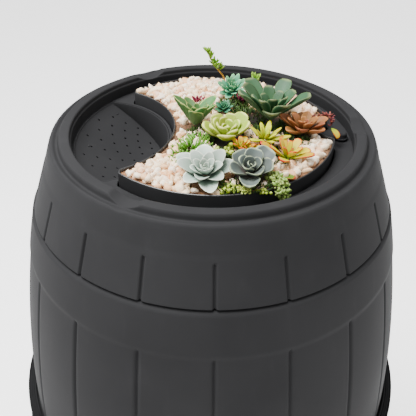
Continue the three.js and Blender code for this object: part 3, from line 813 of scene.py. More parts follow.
def shapes(name, points, material, **attributes):
    """One mesh from many closed grids of points, numbered along the first axis. Each grid's
    columns close on themselves, and its first and last rows each gather in a point."""
    count, rows, columns = points.shape[:3]
    inner_rows = points[:, 1:-1].reshape(count, -1, 3)
    corners = np.concatenate([points[:, :1].mean(2), inner_rows, points[:, -1:].mean(2)], 1)
    ring = np.arange(columns)
    after = np.roll(ring, -1)
    start = 1 + np.arange(rows - 3)[:, None] * columns
    quads = np.stack([start + ring, start + after, start + columns + after,
                      start + columns + ring], -1).reshape(-1, 4)
    last = corners.shape[1] - 1
    foot = np.column_stack([np.zeros(columns, int), 1 + after, 1 + ring])
    head = np.column_stack([np.full(columns, last), last - columns + ring, last - columns + after])
    step = np.arange(count)[:, None, None] * corners.shape[1]
    every = [(step + part).reshape(-1, part.shape[1]) for part in (quads, foot, head)]
    flat = corners.reshape(-1, 3)
    a, b, c, d = (flat[every[0][:, k]] for k in range(4))
    volume = np.einsum("ij,ij->", a, np.cross(b, c)) + np.einsum("ij,ij->", a, np.cross(c, d))
    way = 1 if volume > 0 else -1
    mesh = bpy.data.meshes.new(name)
    mesh.from_pydata(flat, [], sum((part[:, ::way].tolist() for part in every), []))
    for label, values in attributes.items():
        values = np.broadcast_to(values, points.shape[:3])
        spread = np.concatenate([values[:, :1].mean(2), values[:, 1:-1].reshape(count, -1),
                                 values[:, -1:].mean(2)], 1)
        layer = mesh.attributes.new(label, "FLOAT", "POINT")
        layer.data.foreach_set("value", np.ascontiguousarray(spread, np.float32).ravel())
    mesh.shade_smooth()
    mesh.materials.append(material)
    piece = bpy.data.objects.new(name, mesh)
    bpy.context.scene.collection.objects.link(piece)
    return piece


def globe(rows=6, columns=8):
    """Unit directions on a grid from the lower pole to the upper one."""
    latitude = np.linspace(-np.pi / 2, np.pi / 2, rows)[:, None]
    longitude = np.linspace(0, 2 * np.pi, columns, endpoint=False)[None, :]
    return np.stack([np.cos(latitude) * np.cos(longitude), np.cos(latitude) * np.sin(longitude),
                     np.sin(latitude) + 0 * longitude], -1)


def turns(rng, count):
    """Random rotation matrices, from the QR form of random square matrices."""
    basis = np.linalg.qr(rng.normal(size=(count, 3, 3)))[0]
    return basis * np.sign(np.linalg.det(basis))[:, None, None]


plant_spots = np.array([
    [-0.011, -0.127, 0.026], [0.042, -0.124, 0.022], [0.017, -0.032, 0.028], [-0.026, 0.004, 0.018],
    [0.082, 0.018, 0.036], [0.029, 0.090, 0.016], [0.114, -0.022, 0.020], [0.066, -0.056, 0.018],
    [0.088, -0.080, 0.014], [-0.028, -0.062, 0.012], [0.046, 0.034, 0.024], [0.050, -0.086, 0.024],
    [0.014, -0.074, 0.018], [0.018, -0.151, 0.010], [0.042, -0.150, 0.012], [0.020, 0.052, 0.018],
    [0.044, 0.072, 0.014]])


def scattered_chips(rng, pitch, lift, size):
    """Marble chips over the bed: a jittered triangular grid inside the tray, clear of the plants.
    A chip is a ball cut by nine random planes, r = min(1, d / n.v), stretched and turned."""
    across, along = np.meshgrid(np.arange(-30, 31), np.arange(-34, 35))
    spots = np.column_stack([((across + 0.5 * (along % 2)) * pitch).ravel(),
                             (along * pitch * 0.866).ravel()])
    spots = spots + rng.uniform(-0.32, 0.32, spots.shape) * pitch
    bite = np.hypot(spots[:, 0] - bite_x, spots[:, 1]) - bite_radius - tray_wall
    hollow = np.hypot(spots[:, 0] - scallop_x, spots[:, 1]) - scallop_radius - tray_wall
    rim = tray_radius - tray_wall - np.hypot(*spots.T)
    edge = np.minimum(np.minimum(bite, hollow), np.minimum(rim, spots[:, 0] - tip_x - tray_wall))
    bare = (np.linalg.norm(spots[:, None] - plant_spots[:, :2], axis=-1)
            > plant_spots[:, 2]).all(1)
    kept = (edge > 0.0058) & bare
    spots, edge = spots[kept], edge[kept]
    count = len(spots)
    planes = rng.normal(size=(count, 9, 3))
    planes /= np.linalg.norm(planes, axis=-1, keepdims=True)
    depth = rng.uniform(0.42, 0.78, (count, 9, 1, 1))
    facing = np.einsum("kpc,ijc->kpij", planes, globe())
    reach = np.minimum(1, np.where(facing > 0.05, depth / np.maximum(facing, 0.05), 9).min(1))
    stretch = size * rng.uniform(0.75, 1.35, (count, 1, 1, 3)) * np.array([1.35, 1.05, 0.8])
    local = globe() * reach[..., None] * stretch
    turned_chips = np.einsum("kab,kijb->kija", turns(rng, count), local)
    height = gravel_top + lift + rng.uniform(-0.0008, 0.0012, count)
    height = height + 0.0016 * ramp(edge, 0.003, 0.02)
    middle = np.column_stack([spots, height])
    return turned_chips + middle[:, None, None], rng.random(count)


rng = np.random.default_rng(11)
lower = scattered_chips(rng, 0.0086, -0.0004, 0.0064)
upper = scattered_chips(rng, 0.0108, 0.0024, 0.0066)
chips = np.concatenate([lower[0], upper[0]])
chip_tint = np.concatenate([lower[1], upper[1]])[:, None, None]


def paint_marble(place):
    tint = place.node("ShaderNodeAttribute", {}, out=2, attribute_name="tint")
    hue = place.node("ShaderNodeValToRGB", {"Fac": tint}, stops=[
        (0.0, rgb(248, 236, 216)[:3]), (0.3, rgb(238, 212, 174)[:3]),
        (0.50, rgb(248, 232, 208)[:3]), (0.70, rgb(232, 192, 146)[:3]),
        (0.84, rgb(216, 160, 116)[:3]), (1.0, rgb(244, 234, 220)[:3])])
    vein = place.noise(230.0, 5.0).over(0.48, 0.70) * 0.75
    return (vein.mix(hue, rgb(224, 178, 126)), 0.55 + vein * 0.3, place.noise(700.0, 4.0), 0.0003)


marble = finish("gravel_marble", paint_marble)
pebbles = shapes("gravel_chips", chips, marble, tint=chip_tint)
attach(pebbles, "planter")

# ---- Succulents ----
# Living plants set close together in the soil. Every leaf is one closed fleshy blade: flattened,
# cupped, thicker below, and bent along a circular arc. Colour runs from its foot to its tip.


def leaf_grids(azimuth, lift, bend, length, width, thick, cup=0.25, foot=0.5, tip=0.5,
               reach=0.001, height=0.0, rows=11, columns=10):
    """Blades as grids of points. Along a blade u runs from 0 to 1, and its middle line climbs at
    the angle lift + bend u. Its half width is width u^foot (1 - u)^tip, scaled to peak at 1; its
    edges rise by cup times the half width squared over the widest."""
    parts = [np.asarray(value, float)[..., None, None] * np.ones((len(azimuth), 1, 1))
             for value in (azimuth, lift, bend, length, width, thick, cup, reach, height)]
    azimuth, lift, bend, length, width, thick, cup, reach, height = parts
    u = (1 - np.cos(np.linspace(0, np.pi, rows)))[None, :, None] / 2
    v = np.linspace(0, 2 * np.pi, columns, endpoint=False)[None, None, :]
    bend = np.where(np.abs(bend) < 1e-3, 1e-3, bend)
    climb = lift + bend * u
    out = reach + length * (np.sin(climb) - np.sin(lift)) / bend
    rise = height + length * (np.cos(lift) - np.cos(climb)) / bend
    peak = foot / (foot + tip)
    shape = u**foot * (1 - u) ** tip / (peak**foot * (1 - peak) ** tip)
    half = width / 2 * shape
    across = half * np.cos(v)
    body = thick / 2 * shape**0.8 * np.sin(v) * np.where(np.sin(v) < 0, 1.3, 0.7)
    raised = body + cup * across**2 / np.maximum(width / 2, 1e-6) * 2
    out, rise = out - raised * np.sin(climb), rise + raised * np.cos(climb)
    points = np.stack([out * np.cos(azimuth) - across * np.sin(azimuth),
                       out * np.sin(azimuth) + across * np.cos(azimuth), rise], -1)
    ones = np.ones_like(across)
    return points, u * ones, np.abs(np.cos(v)) * ones


def leaned(points, toward, angle):
    """Points turned about the origin so that what stood upright leans toward a direction."""
    turn = np.array(Matrix.Rotation(angle, 3, Vector((-np.sin(toward), np.cos(toward), 0))))
    return points @ turn.T


def leaf_paint(name, foot, middle, tip, edge, edge_from=0.8, rough=0.5):
    """A leaf's skin: three colours along it, a margin colour at its sides and tip, a tone of its
    own for each leaf, a pale bloom and fine pitting."""
    def paint(place):
        read = lambda label: place.node("ShaderNodeAttribute", {}, out=2, attribute_name=label)
        along, side_share, tint = read("along"), read("rim"), read("tint")
        body = place.node("ShaderNodeValToRGB", {"Fac": along + place.noise(120.0) * 0.12}, stops=[
            (0.08, rgb(*foot)[:3]), (0.5, rgb(*middle)[:3]), (0.98, rgb(*tip)[:3])])
        margin = side_share.over(edge_from, 1.0) * along.over(0.25, 0.6)
        ends = along.over(0.90, 1.0)
        coloured = (margin + ends * (1.0 - margin)).mix(body, rgb(*edge))
        toned = place.node("ShaderNodeHueSaturation", {
            "Color": coloured, "Hue": 0.485 + tint * 0.03, "Saturation": 1.28,
            "Value": 0.62 + tint * 0.34})
        return toned, rough + place.noise(300.0) * 0.12, place.noise(900.0, 3.0), 0.0001
    return finish(name, paint, Specular_IOR_Level=0.35)


seeds = np.random.default_rng(5)
golden = np.pi * (3 - np.sqrt(5))


def planted(node, spot, leaves, material, lean=(0.0, 0.0), part="leaves"):
    """Places a plant's leaves on the bed, at a spot across, along and above it. They stand for
    the plant's stand-in and go with the planter."""
    points, along, rim = leaves
    points = leaned(points, *lean) + np.array(spot) + np.array([0, 0, bed])
    piece = shapes(f"{node}_{part}", points, material, along=along, rim=rim,
                   tint=seeds.random(len(points))[:, None, None])
    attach(piece, "planter")
    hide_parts(node)


def rosette(count, inner, outer, lift, width, thick, bend=(0.5, 0.4), jitter=0.12, spread=0.0,
            power=0.7, start=0.0, **shape):
    """Leaves in golden-angle order. From the heart outwards their length grows from inner to
    outer and their lift falls; each is jittered a little."""
    share = (np.arange(count) / (count - 1)) ** power
    azimuth = start + golden * np.arange(count) + seeds.normal(0, jitter * 0.6, count)
    length = (inner + (outer - inner) * share) * (1 + seeds.normal(0, jitter * 0.5, count))
    angle = lift[0] + (lift[1] - lift[0]) * share + seeds.normal(0, jitter * 0.5, count)
    bent = bend[0] + (bend[1] - bend[0]) * share
    breadth = length * width * (1 + seeds.normal(0, 0.06, count))
    return leaf_grids(azimuth, angle, bent, length, breadth,
                      thick * (0.5 + 0.5 * share), reach=0.001 + spread * share,
                      height=0.004 * (1 - share), **shape)


bed = gravel_top
front, right = -np.pi / 2, 0.0

silver = leaf_paint("leaf_silver_rosette", (72, 100, 88), (152, 170, 158), (196, 206, 196),
                    (240, 244, 228), 0.80)
planted("plant_silver_rosette", (-0.011, -0.124, 0.007),
        rosette(24, 0.008, 0.041, (1.45, 0.16), 0.66, 0.0030, bend=(0.35, 0.15), power=0.80,
                cup=0.24, foot=0.72, tip=0.62, spread=0.002), silver, lean=(front, 0.22))

blue = leaf_paint("leaf_blue_rosette", (152, 134, 128), (112, 118, 112), (88, 97, 94),
                  (176, 186, 158), 0.88)
planted("plant_blue_rosette", (0.042, -0.122, 0.008),
        rosette(14, 0.011, 0.036, (1.4, 0.26), 0.74, 0.0038, bend=(0.3, 0.25), power=0.75,
                start=0.9, cup=0.30, foot=0.78, tip=0.34), blue, lean=(front, 0.30))

lime = leaf_paint("leaf_lime_rosette", (214, 222, 160), (178, 192, 116), (156, 172, 92),
                  (222, 224, 156), 0.85)
planted("plant_lime_rosette", (0.017, -0.034, 0.008),
        rosette(18, 0.013, 0.037, (1.3, 0.32), 0.62, 0.0068, bend=(0.4, 0.5), power=0.75,
                cup=0.12, foot=0.85, tip=0.40), lime, lean=(front, 0.10))

green = leaf_paint("leaf_green_rosette", (140, 168, 126), (104, 136, 94), (84, 118, 76),
                   (184, 190, 130), 0.86)
planted("plant_green_rosette", (-0.024, 0.001, 0.006),
        rosette(15, 0.016, 0.049, (1.42, 0.80), 0.46, 0.0040, bend=(0.2, 0.0), power=0.70,
                start=0.9, cup=0.34, foot=0.72, tip=0.66), green, lean=(0.6, 0.16))

spoon = leaf_paint("leaf_spoon_leaf", (132, 166, 132), (72, 104, 74), (58, 84, 60), (120, 130, 96),
                   0.93)
planted("plant_spoon_leaf", (0.078, 0.016, 0.006),
        rosette(21, 0.014, 0.068, (1.42, 0.66), 0.38, 0.0050, bend=(0.10, -0.15), power=0.80,
                start=0.5, cup=0.20, foot=1.15, tip=0.36), spoon, lean=(0.9, 0.06))

teal = leaf_paint("leaf_teal_rosette", (56, 98, 76), (76, 134, 108), (128, 178, 142),
                  (170, 206, 160), 0.92)
planted("plant_teal_rosette", (0.029, 0.092, 0.014),
        rosette(34, 0.009, 0.027, (1.5, 0.15), 0.38, 0.0032, bend=(0.3, 0.5), power=0.7,
                cup=0.15, foot=0.55, tip=0.55, rows=8, columns=8), teal, lean=(front, 0.45))

bronze = leaf_paint("leaf_bronze_rosette", (92, 84, 56), (126, 98, 72), (156, 112, 88),
                    (182, 134, 104), 0.9)
planted("plant_bronze_rosette", (0.118, -0.020, 0.006),
        rosette(20, 0.012, 0.040, (1.25, 0.30), 0.50, 0.0036, bend=(0.3, 0.2), power=0.8,
                start=2.2, cup=0.25, foot=0.7, tip=0.42), bronze, lean=(0.6, 0.12))

star = leaf_paint("leaf_star_rosette", (128, 132, 52), (182, 190, 66), (214, 206, 84),
                  (108, 112, 50), 0.93)
planted("plant_star_rosette", (0.0655, -0.055, 0.014),
        rosette(14, 0.014, 0.030, (1.25, 0.30), 0.28, 0.0036, bend=(0.1, 0.1), power=0.8,
                cup=0.15, foot=0.55, tip=0.55, rows=8, columns=8), star, lean=(front, 0.15))

paddle = leaf_paint("leaf_orange_paddle", (122, 152, 60), (190, 188, 78), (222, 190, 108),
                    (216, 60, 72), 0.76)
planted("plant_orange_paddle", (0.090, -0.085, 0.006),
        rosette(13, 0.015, 0.036, (1.2, 0.20), 0.38, 0.0038, bend=(0.2, 0.1), power=0.75,
                start=5.4, cup=0.15, foot=0.9, tip=0.42), paddle, lean=(right, 0.20))
small_paddle = rosette(9, 0.010, 0.019, (1.25, 0.45), 0.46, 0.0026, bend=(0.2, 0.2), start=0.7,
                       cup=0.2, foot=0.8, tip=0.4, rows=8, columns=8)
planted("plant_orange_paddle", (0.034, -0.064, 0.007), small_paddle, paddle, part="offset")
planted("plant_orange_paddle", (0.046, -0.074, 0.004), small_paddle, paddle, (2.0, 0.3), "bud")
fallen = leaf_paint("leaf_fallen_paddle", (70, 96, 44), (92, 124, 56), (98, 118, 58), (190, 58, 44),
                    0.86)
planted("plant_orange_paddle", (0.068, -0.118, 0.003),
        leaf_grids([-0.45, -1.05], 0.10, 0.10, [0.030, 0.020], 0.014, 0.0034, cup=0.2, foot=0.75,
                   tip=0.45), fallen, part="fallen")

spiky = leaf_paint("leaf_spiky_sedum", (62, 96, 42), (96, 140, 66), (136, 176, 104),
                   (176, 202, 140), 0.95)


def tufts(count, across, along, turn, length):
    """Short upright leaves over an oval patch, the taller towards its middle."""
    share = np.sqrt(seeds.random(count))
    heading = seeds.uniform(0, 2 * np.pi, count)
    grown = leaf_grids(heading, seeds.uniform(0.3, 1.3, count), 0.2,
                       length * seeds.uniform(0.75, 1.2, count), length * 0.24, length * 0.17,
                       cup=0.1, foot=0.45, tip=0.6, reach=0.0, rows=6, columns=6)
    local = np.stack([across * share * np.cos(heading), along * share * np.sin(heading)], -1)
    local = local @ np.array([[np.cos(turn), np.sin(turn)], [-np.sin(turn), np.cos(turn)]])
    offset = np.column_stack([local, 0.005 * (1 - share)])[:, None, None]
    return grown[0] + offset, grown[1], grown[2]


planted("plant_spiky_sedum", (-0.0285, -0.062, 0.002),
        tufts(210, 0.017, 0.036, -0.45, 0.0115), spiky)
# Low sedum tufts fill the gaps between the plants. Their colours are a darker copy of the sedum's,
# painted shade under the crowding leaves.
shaded_sedum = leaf_paint("leaf_sedum_painted_shade", (26, 40, 22), (46, 66, 34), (70, 92, 50), (86, 104, 62),
                   0.95)
for index, (place_x, place_y, wide, deep) in enumerate((
        (0.048, 0.030, 0.030, 0.024), (0.098, -0.045, 0.026, 0.024), (0.052, -0.084, 0.034, 0.022),
        (0.006, -0.078, 0.030, 0.018), (0.020, 0.052, 0.022, 0.030), (0.066, -0.020, 0.028, 0.020),
        (0.044, 0.074, 0.016, 0.020), (0.034, -0.146, 0.034, 0.010), (-0.016, -0.022, 0.018, 0.022),
        (0.108, 0.000, 0.024, 0.018))):
    planted("plant_spiky_sedum", (place_x, place_y, 0.001), tufts(150, wide, deep, 0.0, 0.0085),
            shaded_sedum, part=f"under_{index + 1}")

shade = leaf_paint("leaf_shade_rosette", (34, 66, 52), (48, 88, 70), (84, 128, 98), (96, 140, 108),
                   0.92)
planted("plant_teal_rosette", (0.016, 0.044, 0.008),
        rosette(26, 0.005, 0.015, (1.5, 0.2), 0.42, 0.0026, bend=(0.3, 0.4), cup=0.2, rows=8,
                columns=8), shade, lean=(front, 0.3), part="offset")
plum = leaf_paint("leaf_plum", (60, 20, 34), (92, 34, 52), (120, 52, 70), (130, 70, 84), 0.95)
planted("plant_teal_rosette", (-0.020, 0.070, 0.003),
        rosette(12, 0.006, 0.014, (1.4, 0.5), 0.4, 0.0024, rows=7, columns=7), plum, part="plum")
planted("plant_teal_rosette", (0.040, 0.066, 0.010),
        rosette(12, 0.005, 0.013, (1.4, 0.5), 0.4, 0.0024, rows=7, columns=7), plum,
        lean=(0.8, 0.5), part="plum_tip")


def beads(places, size, stretch=(1.0, 1.0, 1.0)):
    """Fleshy beads: small balls at places, each of its own size, stretched and turned."""
    count = len(places)
    scale = size * seeds.uniform(0.8, 1.15, (count, 1, 1, 1))
    local = globe(7, 8) * scale * np.array(stretch)
    spun = np.einsum("kab,kijb->kija", turns(seeds, count), local)
    points = spun + np.asarray(places)[:, None, None]
    ones = np.ones(points.shape[:3])
    return points, ones * np.linspace(0, 1, 7)[None, :, None], ones * 0


def heap(count, wide, deep, tall):
    """Places scattered normally over an oval heap."""
    spread = seeds.normal(0, 1, (count, 3)) * np.array([wide, deep, tall])
    spread[:, 2] = np.abs(spread[:, 2]) + tall
    return spread


bead = leaf_paint("leaf_bead_cluster", (104, 124, 58), (146, 162, 82), (196, 204, 130),
                  (196, 204, 130), 0.95)
planted("plant_bead_cluster", (0.018, -0.149, 0.001),
        beads(heap(44, 0.0072, 0.0036, 0.0018), 0.0027), bead)
planted("plant_bead_cluster", (0.054, -0.1515, 0.0),
        beads(heap(20, 0.0050, 0.0022, 0.0015), 0.0018), bead, part="strays")
planted("plant_bead_cluster", (0.016, -0.070, 0.004),
        beads(heap(26, 0.0075, 0.0060, 0.0030), 0.0030), bead, part="globes")
planted("plant_bead_cluster", (0.036, -0.1525, 0.003),
        rosette(22, 0.003, 0.0078, (1.45, 0.3), 0.62, 0.0026, cup=0.3, rows=7, columns=8), bead,
        lean=(front, 0.5), part="button")

tail = leaf_paint("leaf_donkey_tail", (96, 120, 66), (136, 158, 96), (176, 192, 132),
                  (188, 200, 146), 0.95)


def hanging(heading, reach, count):
    """Places in a ring round a line that runs out over the tray's lip and hangs down outside it."""
    line = np.array([[-0.026, 0.006], [-0.016, 0.010], [-0.008, 0.0115], [0.002, 0.0110],
                     [0.007, 0.004], [0.0085, -0.002], [0.0090, -0.002 - reach]])
    steps = np.linspace(0, len(line) - 1, count)
    out = tray_radius + np.interp(steps, np.arange(len(line)), line[:, 0])
    middle = np.column_stack([out * np.cos(heading), out * np.sin(heading),
                              np.interp(steps, np.arange(len(line)), line[:, 1])])
    off = seeds.normal(0, 1, (2, count, 3))
    off /= np.linalg.norm(off, axis=-1, keepdims=True)
    return (middle + off * np.linspace(0.0036, 0.0022, count)[None, :, None]).reshape(-1, 3)


strands = [hanging(-1.09, 0.010, 34), hanging(-1.05, 0.004, 26), hanging(-1.13, -0.004, 14)]
planted("plant_donkey_tail", (0, 0, 0),
        beads(np.concatenate(strands), 0.0019, (0.9, 0.9, 1.6)), tail)


def sprig(points_on_stem, whorls, length, lift=(0.5, 1.1), per=5, width=0.3):
    """Whorls of narrow leaves along a curved stem: returns the leaves and the stem's line."""
    steps = np.linspace(0, len(points_on_stem) - 1, 60)
    line = np.stack([np.interp(steps, np.arange(len(points_on_stem)), points_on_stem[:, k])
                     for k in range(3)], -1)
    for _ in range(6):
        line[1:-1] = (line[:-2] + 2 * line[1:-1] + line[2:]) / 4
    where = np.repeat(line[(np.asarray(whorls) * 59).astype(int)], per, 0)
    heading = seeds.uniform(0, 2 * np.pi, len(where))
    grown = leaf_grids(heading, seeds.uniform(*lift, len(where)), 0.3,
                       seeds.uniform(0.8, 1.15, len(where)) * length, length * width, length * 0.2,
                       cup=0.1, foot=0.6, tip=0.5, rows=7, columns=6, reach=0.0004)
    return (grown[0] + where[:, None, None], grown[1], grown[2]), line


def stem(node, line, radius, material):
    """A round stem carried along a line above the bed."""
    ahead = np.gradient(line, axis=0)
    ahead /= np.linalg.norm(ahead, axis=1, keepdims=True)
    side_way = np.cross(ahead, [0.3, 1.0, 0.2])
    side_way /= np.linalg.norm(side_way, axis=1, keepdims=True)
    up_way = np.cross(ahead, side_way)
    turn = np.linspace(0, 2 * np.pi, 8, endpoint=False)
    size = radius * np.concatenate([[0], np.ones(len(line) - 2), [0]])[:, None, None]
    grid = line[:, None] + size * (np.cos(turn)[:, None] * side_way[:, None]
                                   + np.sin(turn)[:, None] * up_way[:, None])
    piece = shapes(f"{node}_stem", grid[None] + np.array([0, 0, bed]), material, tint=0.5,
                   along=0.5, rim=0.0)
    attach(piece, "planter")
    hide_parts(node)


sprout = leaf_paint("leaf_tall_sprig", (88, 122, 48), (106, 150, 68), (150, 182, 100),
                    (150, 178, 110), 0.95)
wood = leaf_paint("leaf_stem", (150, 104, 56), (172, 132, 62), (172, 132, 62), (172, 132, 62))
tall_line = np.array([[0.021, 0.136, 0.004], [0.017, 0.136, 0.018], [0.006, 0.135, 0.032],
                      [-0.002, 0.134, 0.045], [-0.006, 0.134, 0.0555]])
tall, tall_stem = sprig(tall_line, [0.44, 0.50, 0.54, 0.58, 0.62, 0.80, 0.93, 0.98, 1.0], 0.0105,
                        lift=(0.4, 1.2), per=6, width=0.34)
planted("plant_tall_sprig", (0, 0, 0), tall, sprout)
stem("plant_tall_sprig", tall_stem, 0.0012, wood)

short_line = np.array([[0.059, 0.112, 0.002], [0.062, 0.110, 0.012], [0.064, 0.109, 0.022]])
short, short_stem = sprig(short_line, [0.6, 0.9, 1.0, 1.0], 0.0135, per=5, width=0.26)
planted("plant_short_sprig", (0, 0, 0), short, sprout)
stem("plant_short_sprig", short_stem, 0.0011, wood)

berry = leaf_paint("leaf_burgundy_sprig", (78, 40, 46), (108, 62, 64), (140, 88, 84),
                   (158, 104, 96))
berry_line = np.array([[0.128, 0.014, 0.004], [0.140, 0.012, 0.012], [0.151, 0.006, 0.018],
                       [0.158, -0.002, 0.022], [0.157, -0.010, 0.012]])
berry_leaves, berry_stem = sprig(berry_line, np.linspace(0.15, 1.0, 16), 0.0062, lift=(0.1, 1.2),
                                 per=3, width=0.5)
planted("plant_burgundy_sprig", (0, 0, 0), berry_leaves, berry)
stem("plant_burgundy_sprig", berry_stem, 0.0009, berry)
planted("plant_burgundy_sprig", (0.157, -0.012, 0.010),
        leaf_grids([-0.9], -0.5, -0.4, 0.017, 0.010, 0.003, foot=0.7, tip=0.4), paddle,
        part="hanging")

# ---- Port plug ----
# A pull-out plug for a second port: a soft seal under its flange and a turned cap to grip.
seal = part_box("port_seal")
plug_place = np.array([plug_x, 0.0, 0.0])


def lathed(name, profile, material, place, axis="Z", columns=48, ribs=0, rib_depth=0.0,
           rib_from=1.0):
    """A closed profile of radius and distance turned round an axis through a place. Ribs, if any,
    push the points further out than a radius in and out as a cosine round the axis."""
    angle = np.linspace(0, 2 * np.pi, columns, endpoint=False)
    radius, along = profile[:, :1] * np.ones(columns), profile[:, 1:] * np.ones(columns)
    radius = radius - rib_depth * (0.5 + 0.5 * np.cos(ribs * angle)) * (radius > rib_from)
    grid = np.stack([radius * np.cos(angle), radius * np.sin(angle), along], -1)
    if axis == "Y":
        grid = np.stack([grid[..., 0], -grid[..., 2], grid[..., 1]], -1)
    return skin(name, grid + np.asarray(place), material)


def faced(corners, bend, steps=4):
    """A solid of revolution's profile: rounded corners, with both ends run in to the axis."""
    line = rounded([[0.0004, corners[0][1]], *corners, [0.0004, corners[-1][1]]],
                   [0.0001, *([bend] * len(corners)), 0.0001], steps)
    line[line[:, 0] < 0.0006, 0] = 0
    return line


seal_ring = rounded([[seal[1].x - plug_x - 0.0024, seal[0].z], [seal[1].x - plug_x, seal[0].z],
                     [seal[1].x - plug_x, seal[1].z], [seal[1].x - plug_x - 0.0024, seal[1].z]],
                    0.0002, 4)
port_seal = lathed("port_seal_ring", seal_ring, rubber, plug_place)
seat = seal[1].z + 0.0003
plug_profile = faced([[0.0040, seat - 0.0133], [0.0046, seat - 0.0110], [0.0046, seat],
                      [0.0095, seat], [0.0095, seat + 0.0024], [0.0078, seat + 0.0030],
                      [0.0074, seat + 0.0080], [0.0058, seat + 0.0095]], 0.0005)
port_plug = lathed("port_plug_cap", plug_profile, charcoal, plug_place)
for piece, node, name in ((port_seal, "port_seal", "rubber"),
                          (port_plug, "port_plug", "charcoal_plastic")):
    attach(piece, "plug")
    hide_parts(node)

# ---- Spigot ----
# A brass ball-valve tap is screwed through a flat pad near the foot of the lower shell. Rubber
# washers seal it on both sides and a hexagon locknut holds it from inside.


def paint_brass(place):
    cloud = place.noise(70.0, 5.0)
    stain = cloud.over(0.52, 0.8)
    return (stain.mix(rgb(196, 160, 92), rgb(150, 112, 62)), 0.26 + cloud * 0.22,
            place.noise(500.0, 3.0), 3e-5)


brass = finish("brass", paint_brass, metallic=1.0)
axis_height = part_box("valve_ball")[0].z + 0.012
pad_face = -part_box("spigot_outer_washer")[1].y - 0.0003
valve_y = (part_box("valve_stem")[0].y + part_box("valve_stem")[1].y) / 2
on_axis = np.array([0.0, 0.0, axis_height])


def hexagon(radius, near, far, bore, bend=0.0008):
    """A hexagon nut's profile rows: the grid's radius is cut by six flats, r cos(30) / cos(a)."""
    columns = 96
    angle = np.linspace(0, 2 * np.pi, columns, endpoint=False)
    flat = radius * np.cos(np.pi / 6) / np.cos((angle + np.pi / 6) % (np.pi / 3) - np.pi / 6)
    line = rounded([[bore, near], [1.0, near], [1.0, far], [bore, far]],
                   [0.0001, bend, bend, 0.0001], 4)
    outward = line[:, :1] > 0.5
    reach = np.where(outward, flat * np.clip(line[:, :1], 0, 1), line[:, :1])
    dome = np.minimum(reach, radius * 0.985)
    along = line[:, 1:] * np.ones(columns)
    return np.stack([dome * np.cos(angle), -along, dome * np.sin(angle)], -1)


collar = pad_face + 0.0031
tap_bore, stem_hole, thread_end = 0.0070, 0.0043, 0.2277
thread_radius, pipe_radius, ball_case = 0.0125, 0.0130, 0.0180
tap_pieces = [
    skin("spigot_body_hex", hexagon(0.020, collar, collar + 0.007, 0.008) + on_axis, brass),
    lathed("spigot_body_tail", rounded([[tap_bore, thread_end + 0.0005], [0.0118, thread_end],
        [thread_radius, 0.2290], [thread_radius, collar + 0.001], [pipe_radius, collar + 0.006],
        [pipe_radius, -valve_y - 0.014], [0.0150, -valve_y - 0.017], [ball_case, -valve_y - 0.014],
        [ball_case, -valve_y + 0.022], [0.0160, -valve_y + 0.026], [tap_bore, -valve_y + 0.026],
        [tap_bore, -valve_y + 0.0160], [0.0121, -valve_y + 0.006], [0.0124, -valve_y],
        [0.0121, -valve_y - 0.006], [tap_bore, -valve_y - 0.0160]], 0.0009, 4), brass,
        on_axis, "Y", 64),
    lathed("spigot_body_outlet", rounded([[tap_bore, axis_height - 0.0455],
        [0.0120, axis_height - 0.046], [0.0120, axis_height - 0.040],
        [0.0108, axis_height - 0.0385], [0.0112, axis_height - 0.002],
        [tap_bore, axis_height - 0.002]], 0.0006, 4), brass, (0, valve_y - 0.016, 0), "Z", 48),
    lathed("spigot_body_bonnet", rounded([[stem_hole, axis_height + 0.0125],
        [0.0100, axis_height + 0.0125], [0.0090, axis_height + 0.020],
        [0.0090, axis_height + 0.0255], [0.0080, axis_height + 0.026],
        [stem_hole, axis_height + 0.026]], 0.0006, 4), brass, (0, valve_y, 0), "Z", 48)]
plugged = lathed("spigot_body_end", faced([
    [0.0085, -valve_y + 0.0165], [0.0085, -valve_y + 0.0262], [0.0060, -valve_y + 0.0276]],
    0.0006), brass, on_axis, "Y", 48)
tap_pieces.append(plugged)
for piece in tap_pieces:
    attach(piece, "barrel")
    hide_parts("spigot_body")

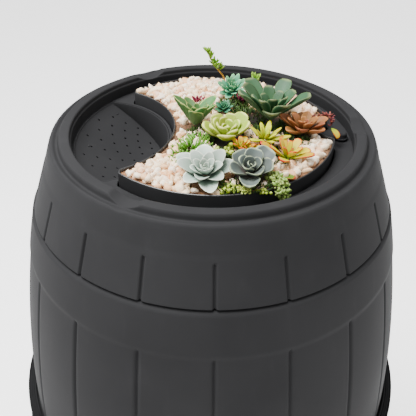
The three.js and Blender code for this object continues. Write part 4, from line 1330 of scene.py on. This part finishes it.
nut_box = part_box("spigot_locknut")
locknut = skin("spigot_locknut_hex",
               hexagon(0.021, -nut_box[1].y, -nut_box[0].y, 0.0129) + on_axis, brass)
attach(locknut, "barrel")
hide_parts("spigot_locknut")
for node in ("spigot_outer_washer", "spigot_inner_washer"):
    low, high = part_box(node)
    ring = rounded([[0.0129, -high.y], [0.0210, -high.y], [0.0210, -low.y], [0.0129, -low.y]],
                   0.0006, 4)
    washer = lathed(f"{node}_ring", ring, rubber, on_axis, "Y", 64)
    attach(washer, "barrel")
    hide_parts(node)

# ---- Valve ----
# A steel ball with a bore through it, a brass stem, and a black lever held by a steel screw.
# The lever turns a quarter turn.
carried("valve_ball", steel)
carried("valve_stem", brass)
lever_low, lever_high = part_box("valve_lever")
lever_length = lever_high.x - 0.0065


def paint_lever(place):
    cloud = place.noise(40.0, 4.0)
    return (cloud.mix(rgb(22, 22, 23), rgb(34, 34, 35)), 0.4 + cloud * 0.1,
            place.noise(900.0), 6e-5)


lever_plastic = finish("lever_plastic", paint_lever)
travel = np.linspace(0, 2 * np.pi, 160, endpoint=False)
hub, tip_round = 0.009, 0.0065
swell = hub + (tip_round - hub) * (0.5 - 0.5 * np.cos(travel))
middle_line = lever_length * (0.5 - 0.5 * np.cos(travel))
outline = np.column_stack([middle_line - swell * np.cos(travel), swell * np.sin(travel)])


def shrunk(by, height):
    """The lever's outline at a height, drawn in towards its middle by a distance."""
    scale = 1 - by / np.maximum(np.linalg.norm(outline - [lever_length / 2, 0], axis=1), 1e-6)
    inner_loop = (outline - [lever_length / 2, 0]) * scale[:, None] + [lever_length / 2, 0]
    return level(inner_loop + [0, valve_y], height)


lever = capped("valve_lever_arm", np.stack([
    shrunk(0.0010, lever_low.z), shrunk(0.0002, lever_low.z + 0.0008),
    shrunk(0.0, lever_low.z + 0.0016), shrunk(0.0, lever_high.z - 0.0016),
    shrunk(0.0003, lever_high.z - 0.0007), shrunk(0.0012, lever_high.z)]), lever_plastic)
lever = carved(lever, [pins("cut_socket", [(0, valve_y)], 0.0043, 0.0, 1.0, 24)])
screw_low, screw_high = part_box("lever_screw")
screw = lathed("lever_screw_head", faced([[0.0066, screw_low.z], [0.0070, screw_low.z + 0.0012],
                                         [0.0055, screw_high.z - 0.0006], [0.0030, screw_high.z]],
                                        0.0004), steel, (0, valve_y, 0), "Z", 48)
for piece, node, name in ((lever, "valve_lever", "lever_plastic"), (screw, "lever_screw", "steel")):
    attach(piece, "valve")
    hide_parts(node)
